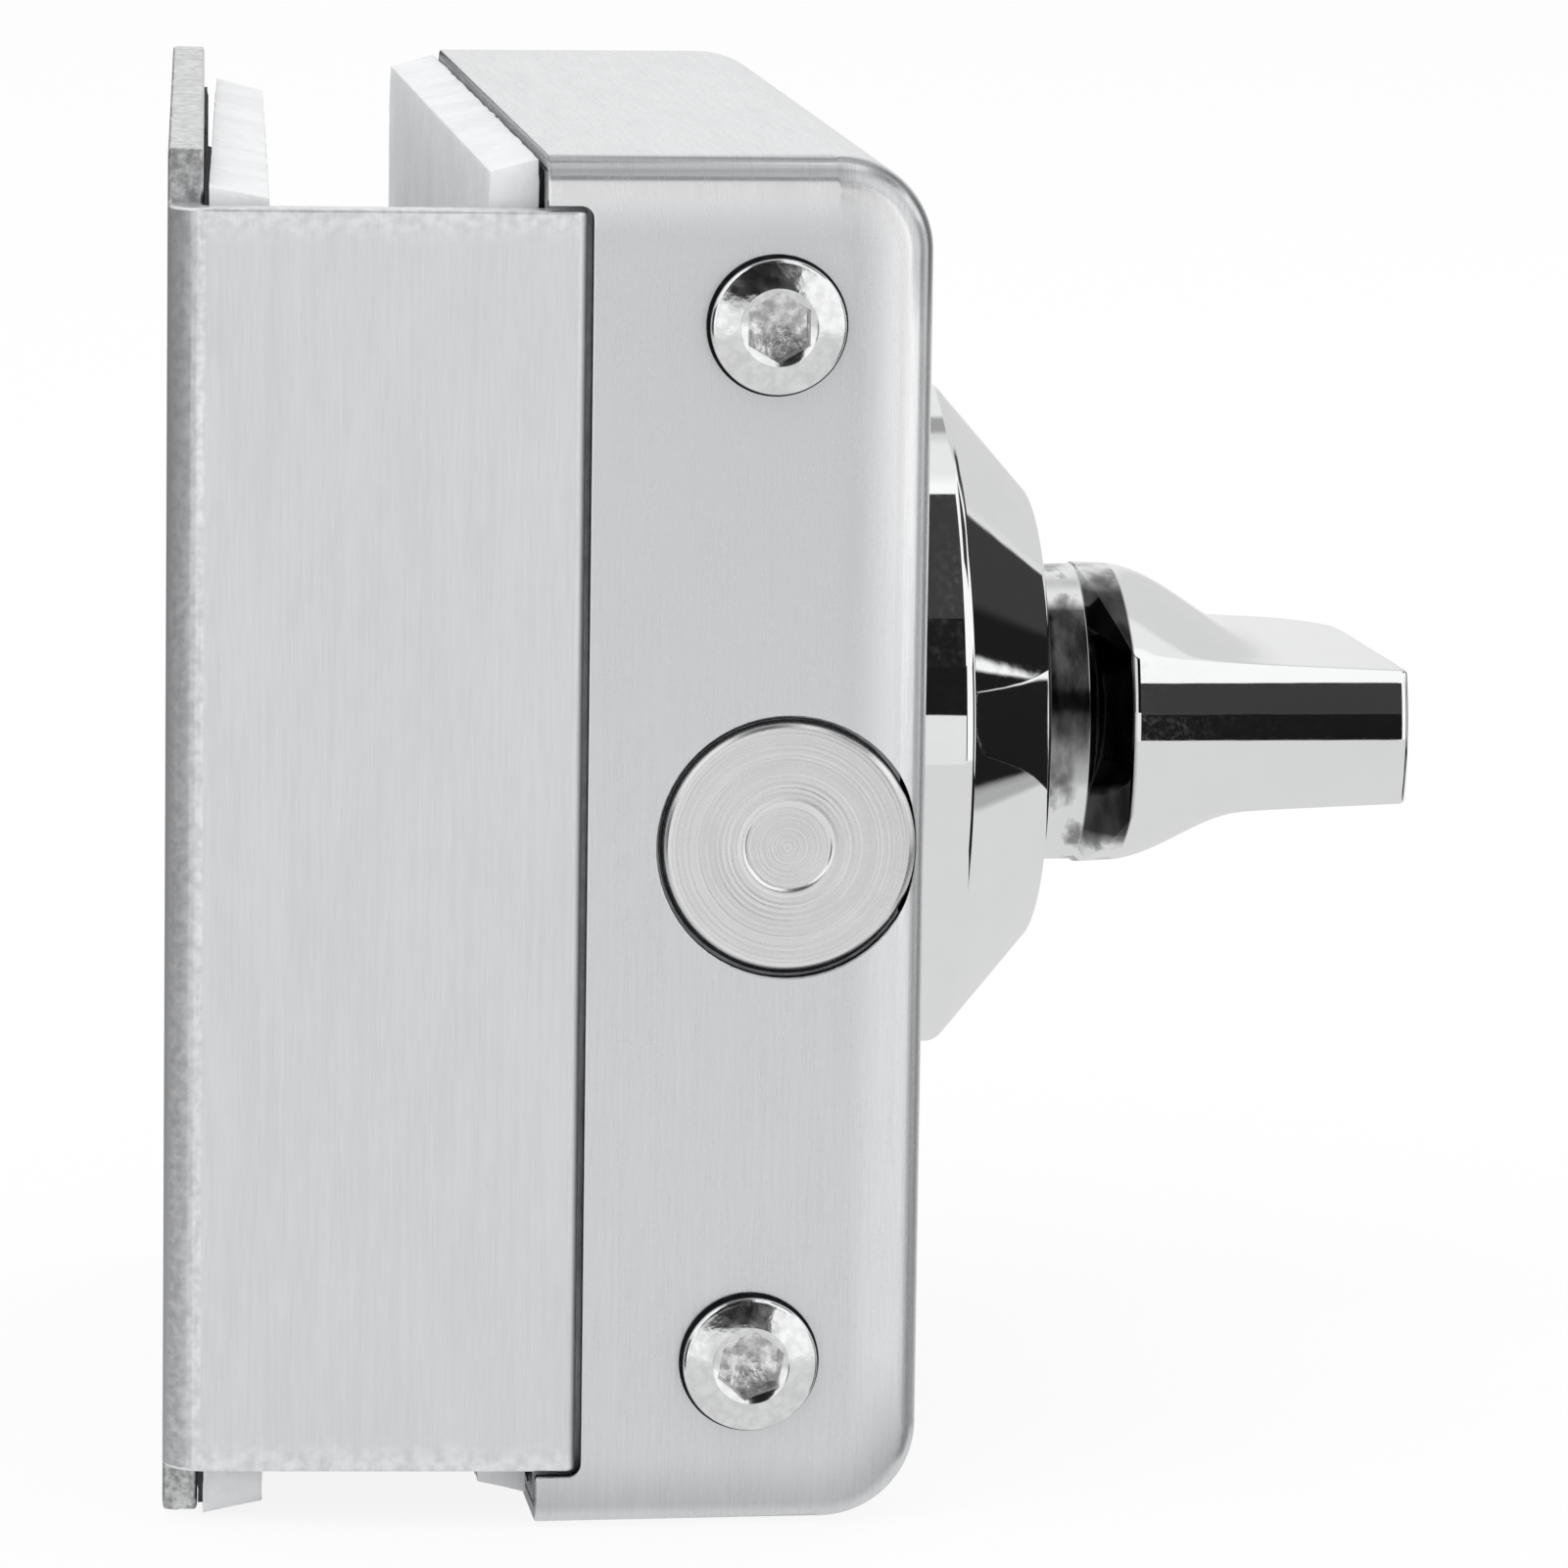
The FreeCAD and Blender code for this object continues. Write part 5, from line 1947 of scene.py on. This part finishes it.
    def outline(self) -> list[tuple[float, list[Place]]]:
        """Every section from the square hole's floor over the outside to the tip.

        Returns:
            Places along the axis with their quarter outlines.
        """
        rows = [(self.square_end, self.squared()), (self.stem_end, self.squared())]
        rows += [(self.stem_end, self.plain(self.stem - self.chamfer, 0.0))]
        rows += [(self.stem_end + self.chamfer, self.plain(self.stem, 0.0))]
        begin, end = self.groove
        for place, depth in ((begin, 0), (begin, 1), (end, 1), (end, 0)):
            rows.append((place, self.plain(self.stem - depth * self.groove_depth, 0.0)))
        collar = self.sizes.collar
        neck = zip(spaced(self.neck_start, collar, self.neck_rows), spaced(0.0, 1.0, self.neck_rows))
        rows += [(x, self.plain(self.stem, share)) for x, share in neck]
        for step in range(self.edge_rows, -1, -1):
            angle = math.pi / 2.0 * step / self.edge_rows
            x = collar + self.collar_round * (1.0 - math.sin(angle))
            radius = self.collar_radius - self.collar_round * (1.0 - math.cos(angle))
            rows.append((x, self.plain(radius, 1.0)))
        level = spaced(collar + 0.8, self.sizes.collar_end, self.collar_rows)
        rows += [(x, self.plain(self.collar_radius, 1.0)) for x in level]
        heights = [self.start + self.first_row + step * self.row_step for step in range(self.close_rows)]
        heights += spaced(heights[-1] + self.row_gap, self.reach - self.tip_round, self.blade_rows)
        rows += [(self.sizes.face + height, self.section(height)) for height in heights]
        for step in range(1, self.tip_rows + 1):
            angle = math.pi / 2.0 * step / self.tip_rows
            height = self.reach - self.tip_round * (1.0 - math.sin(angle))
            inset = self.tip_round * (1.0 - math.cos(angle))
            rows.append((self.sizes.face + height, self.section(height, inset)))
        return rows

    def build(self) -> None:
        """Build the skin and place the turn."""
        shell = Shell()
        loops = [shell.ring(self.around(x, quarter)) for x, quarter in self.outline()]
        for first, second in zip(loops, loops[1:]):
            shell.bridge(first, second)
        shell.close(loops[0], Vector((self.square_end, 0.0, 0.0)))
        tip = self.sizes.face + self.reach - self.lean * self.radius
        shell.close(loops[-1], Vector((tip, 0.0, 0.0)))
        piece = shell.piece("thumb_turn_body")
        dress(piece, self.finishes.chrome)
        settle(piece, Body.TURN, "chrome", "thumb_turn")


# Studio


@dataclass(frozen=True)
class Card:
    """A card or soft box around the object, by direction in degrees.

    About the upright axis the turn is the azimuth from -Y towards +X and the tilt is the elevation.
    About the axis across the glass the turn goes from -Y upwards and the tilt leans towards +X.
    """

    pole: Pole
    turn: float
    half_turn: float
    low: float
    high: float
    level: float
    soft: float = 2.0


@dataclass
class Studio:
    """Floor, surroundings, lamps and camera."""

    floor_z: float = -43.25
    floor_radius: float = 6000.0
    table_level: float = 0.70
    room_level: float = 1.0
    soft_light: float = 0.92
    ragged: float = 0.25
    cards: tuple[Card, ...] = (
        Card(Pole.UP, 180.0, 62.0, -9.0, 80.0, 0.84, 3.0),
        Card(Pole.UP, 148.0, 19.0, -4.0, 62.0, 0.68, 3.0),
        Card(Pole.ACROSS, -1.0, 9.0, -16.0, 8.4, 0.80, 0.2),
        Card(Pole.ACROSS, 24.0, 17.0, -22.0, 8.4, 0.010, 0.2),
        Card(Pole.ACROSS, 65.0, 24.5, -22.0, 8.4, 0.045, 0.2),
        Card(Pole.ACROSS, -1.0, 8.0, 8.35, 16.5, 0.010, 0.2),
        Card(Pole.ACROSS, 15.0, 9.0, 8.35, 16.5, 0.045, 0.2),
        Card(Pole.ACROSS, 84.0, 19.0, 27.0, 52.0, 0.04, 1.5),
        Card(Pole.ACROSS, 127.5, 5.5, -16.0, 8.4, 0.25, 2.0),
        Card(Pole.UP, 112.0, 22.0, -15.0, -12.5, 0.42, 0.6),
        Card(Pole.UP, 113.5, 14.5, -12.5, 30.0, 0.012, 0.8),
        Card(Pole.UP, 117.0, 11.0, 9.5, 30.0, 0.045, 0.8),
        Card(Pole.UP, 77.0, 9.0, -32.0, 14.0, 0.012, 0.8),
        Card(Pole.UP, 92.0, 8.0, -32.0, -11.0, 0.012, 0.8),
        Card(Pole.UP, 124.0, 10.0, 30.0, 50.0, 0.05, 4.0),
        Card(Pole.UP, 107.6, 0.6, 2.7, 4.5, 1.0, 0.3),
        Card(Pole.UP, -112.0, 66.0, -14.0, 14.0, 0.03, 5.0),
    )
    table_edge: Place = (-9.5, -8.0)
    torn_cells: float = 18.0
    torn_seed: float = 20.0
    floor_steps: int = 64
    floor_paint: float = 0.9
    floor_glow: float = 0.88
    lamps: tuple[tuple[str, Triple, float, float], ...] = (
        ("overhead_box", (-350.0, -500.0, 900.0), 700.0, 2.2),
        ("rear_box", (500.0, 500.0, 700.0), 600.0, 1.2),
    )
    lamp_aim: Triple = (0.0, -20.0, 0.0)
    camera_place: Triple = (-50.1, -641.0, 94.3)
    camera_turns: Triple = (6.713, -8.746, 0.811)
    focal_pixels: float = 9764.0
    sensor: float = 36.0
    clip: Place = (0.01, 50.0)

    def world(self) -> None:
        """Build the surroundings: white to the eye, cards in reflections, plain light for the rest."""
        world = bpy.data.worlds.new("studio")
        bpy.context.scene.world = world
        world.use_nodes = True
        pen = NodePen(world.node_tree)
        heading = pen.node("ShaderNodeTexCoord").outputs["Generated"]
        across, depth, up = pen.split(heading)
        ahead = pen.product(depth, -1.0)
        torn = pen.math("SUBTRACT", pen.noise(heading, self.torn_cells, 1.0, self.torn_seed), 0.5)
        torn = pen.product(torn, 2.0 * self.ragged)
        angles = {}
        for pole, side, rise in ((Pole.UP, across, up), (Pole.ACROSS, up, across)):
            turn = pen.math("ADD", torn, pen.math("DEGREES", pen.math("ARCTAN2", side, ahead)))
            tilt = pen.math("SUBTRACT", pen.math("DEGREES", pen.math("ARCSINE", rise)), torn)
            angles[pole] = (turn, tilt)
        level = pen.between(angles[Pole.UP][1], *self.table_edge, self.table_level, self.room_level)
        for card in self.cards:
            turn, tilt = angles[card.pole]
            offset = pen.math("SUBTRACT", turn, card.turn)
            offset = pen.math("ABSOLUTE", pen.math("WRAP", offset, 180.0, -180.0))
            inside = pen.between(offset, card.half_turn - card.soft, card.half_turn + card.soft, 1.0, 0.0)
            above = pen.between(tilt, card.low - card.soft, card.low + card.soft, 0.0, 1.0)
            below = pen.between(tilt, card.high - card.soft, card.high + card.soft, 1.0, 0.0)
            level = pen.blend(pen.product(inside, above, below), level, card.level)
        rays = pen.node("ShaderNodeLightPath").outputs
        mirrored = pen.math("MAXIMUM", rays["Is Glossy Ray"], rays["Is Transmission Ray"])
        lit = pen.blend(mirrored, self.soft_light, level)
        background = pen.node("ShaderNodeBackground")
        background.inputs["Color"].default_value = (1.0, 1.0, 1.0, 1.0)
        pen.feed(background.inputs["Strength"], pen.blend(rays["Is Camera Ray"], lit, 1.0))
        output = pen.node("ShaderNodeOutputWorld")
        pen.feed(output.inputs["Surface"], background.outputs[0])

    def floor(self) -> None:
        """Lay a plain white floor that keeps the object's shadow."""
        shell = Shell()
        rim = []
        for step in range(self.floor_steps):
            angle = math.tau * step / self.floor_steps
            side, depth = self.floor_radius * math.cos(angle), self.floor_radius * math.sin(angle)
            rim.append(Vector((side, depth, self.floor_z)))
        shell.close(shell.ring(rim), Vector((0.0, 0.0, self.floor_z)))
        piece = shell.piece("studio_floor")
        for face in piece.data.polygons:
            if face.normal.z < 0.0:
                face.flip()
        material = bpy.data.materials.new("floor_paint")
        material.use_nodes = True
        pen = NodePen(material.node_tree)
        rays = pen.node("ShaderNodeLightPath")
        paint = pen.node("ShaderNodeBsdfDiffuse")
        paint.inputs["Color"].default_value = (self.floor_paint, self.floor_paint, self.floor_paint, 1.0)
        glow = pen.node("ShaderNodeEmission")
        glow.inputs["Color"].default_value = (1.0, 1.0, 1.0, 1.0)
        mix = pen.node("ShaderNodeMixShader")
        pen.feed(mix.inputs[0], pen.product(rays.outputs["Is Camera Ray"], self.floor_glow))
        pen.feed(mix.inputs[1], paint.outputs[0])
        pen.feed(mix.inputs[2], glow.outputs[0])
        output = pen.node("ShaderNodeOutputMaterial")
        pen.feed(output.inputs["Surface"], mix.outputs[0])
        piece.data.materials.append(material)
        piece.visible_glossy = False

    def lamp(self, name: str, place: Triple, size: float, watts: float) -> None:
        """Hang a soft lamp that looks at the object.

        Args:
            name: The lamp's name.
            place: Where it hangs, in millimetres.
            size: Its side in millimetres.
            watts: Its power.
        """
        light = bpy.data.lights.new(name, "AREA")
        light.shape = "SQUARE"
        light.size = size * MM
        light.energy = watts
        piece = bpy.data.objects.new(name, light)
        bpy.context.scene.collection.objects.link(piece)
        piece.location = Vector(place) * MM
        aim = Vector(self.lamp_aim) * MM - piece.location
        piece.rotation_euler = aim.to_track_quat("-Z", "Y").to_euler()
        piece.visible_glossy = False

    def camera(self) -> None:
        """Stand the camera where the photograph was taken from."""
        yaw, pitch, roll = (math.radians(value) for value in self.camera_turns)
        ahead = Vector((math.sin(yaw) * math.cos(pitch), math.cos(yaw) * math.cos(pitch), math.sin(pitch)))
        level = Vector((math.cos(yaw), -math.sin(yaw), 0.0))
        raised = level.cross(ahead)
        right = level * math.cos(roll) + raised * math.sin(roll)
        up = raised * math.cos(roll) - level * math.sin(roll)
        data = bpy.data.cameras.new("camera")
        data.sensor_width = self.sensor
        data.lens = self.sensor * self.focal_pixels / PHOTO_SIDE
        data.clip_start, data.clip_end = self.clip
        piece = bpy.data.objects.new("camera", data)
        bpy.context.scene.collection.objects.link(piece)
        turn = Matrix((right, up, -ahead)).transposed().to_4x4()
        piece.matrix_world = Matrix.Translation(Vector(self.camera_place) * MM) @ turn
        bpy.context.scene.camera = piece

    def build(self) -> None:
        """Set up the studio."""
        self.world()
        self.floor()
        for lamp in self.lamps:
            self.lamp(*lamp)
        self.camera()
        bpy.context.scene.view_settings.view_transform = "Standard"
        LOG.info("studio: camera, floor and lamps")


def main() -> None:
    """Build the lock's looks around its frame."""
    logging.basicConfig(level=logging.INFO, format="%(message)s")
    for leftover in list(bpy.data.objects):
        bpy.data.objects.remove(leftover)
    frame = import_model()
    nodes = frame["nodes"]
    sizes = LockSizes()
    finishes = Finishes.build(sizes)
    lathe = Lathe()
    Studio().build()
    case = Case(nodes, finishes, sizes)
    case.cover()
    case.hidden_work()
    Pads(nodes, finishes, sizes).build()
    ClampPlate(nodes, finishes, sizes).build()
    EndScrews(finishes, sizes).build(repeater())
    Bolt(nodes, lathe, finishes, sizes).build()
    Rose(lathe, finishes, sizes).build()
    ThumbTurn(finishes, sizes).build()


if __name__ == "__main__":
    main()
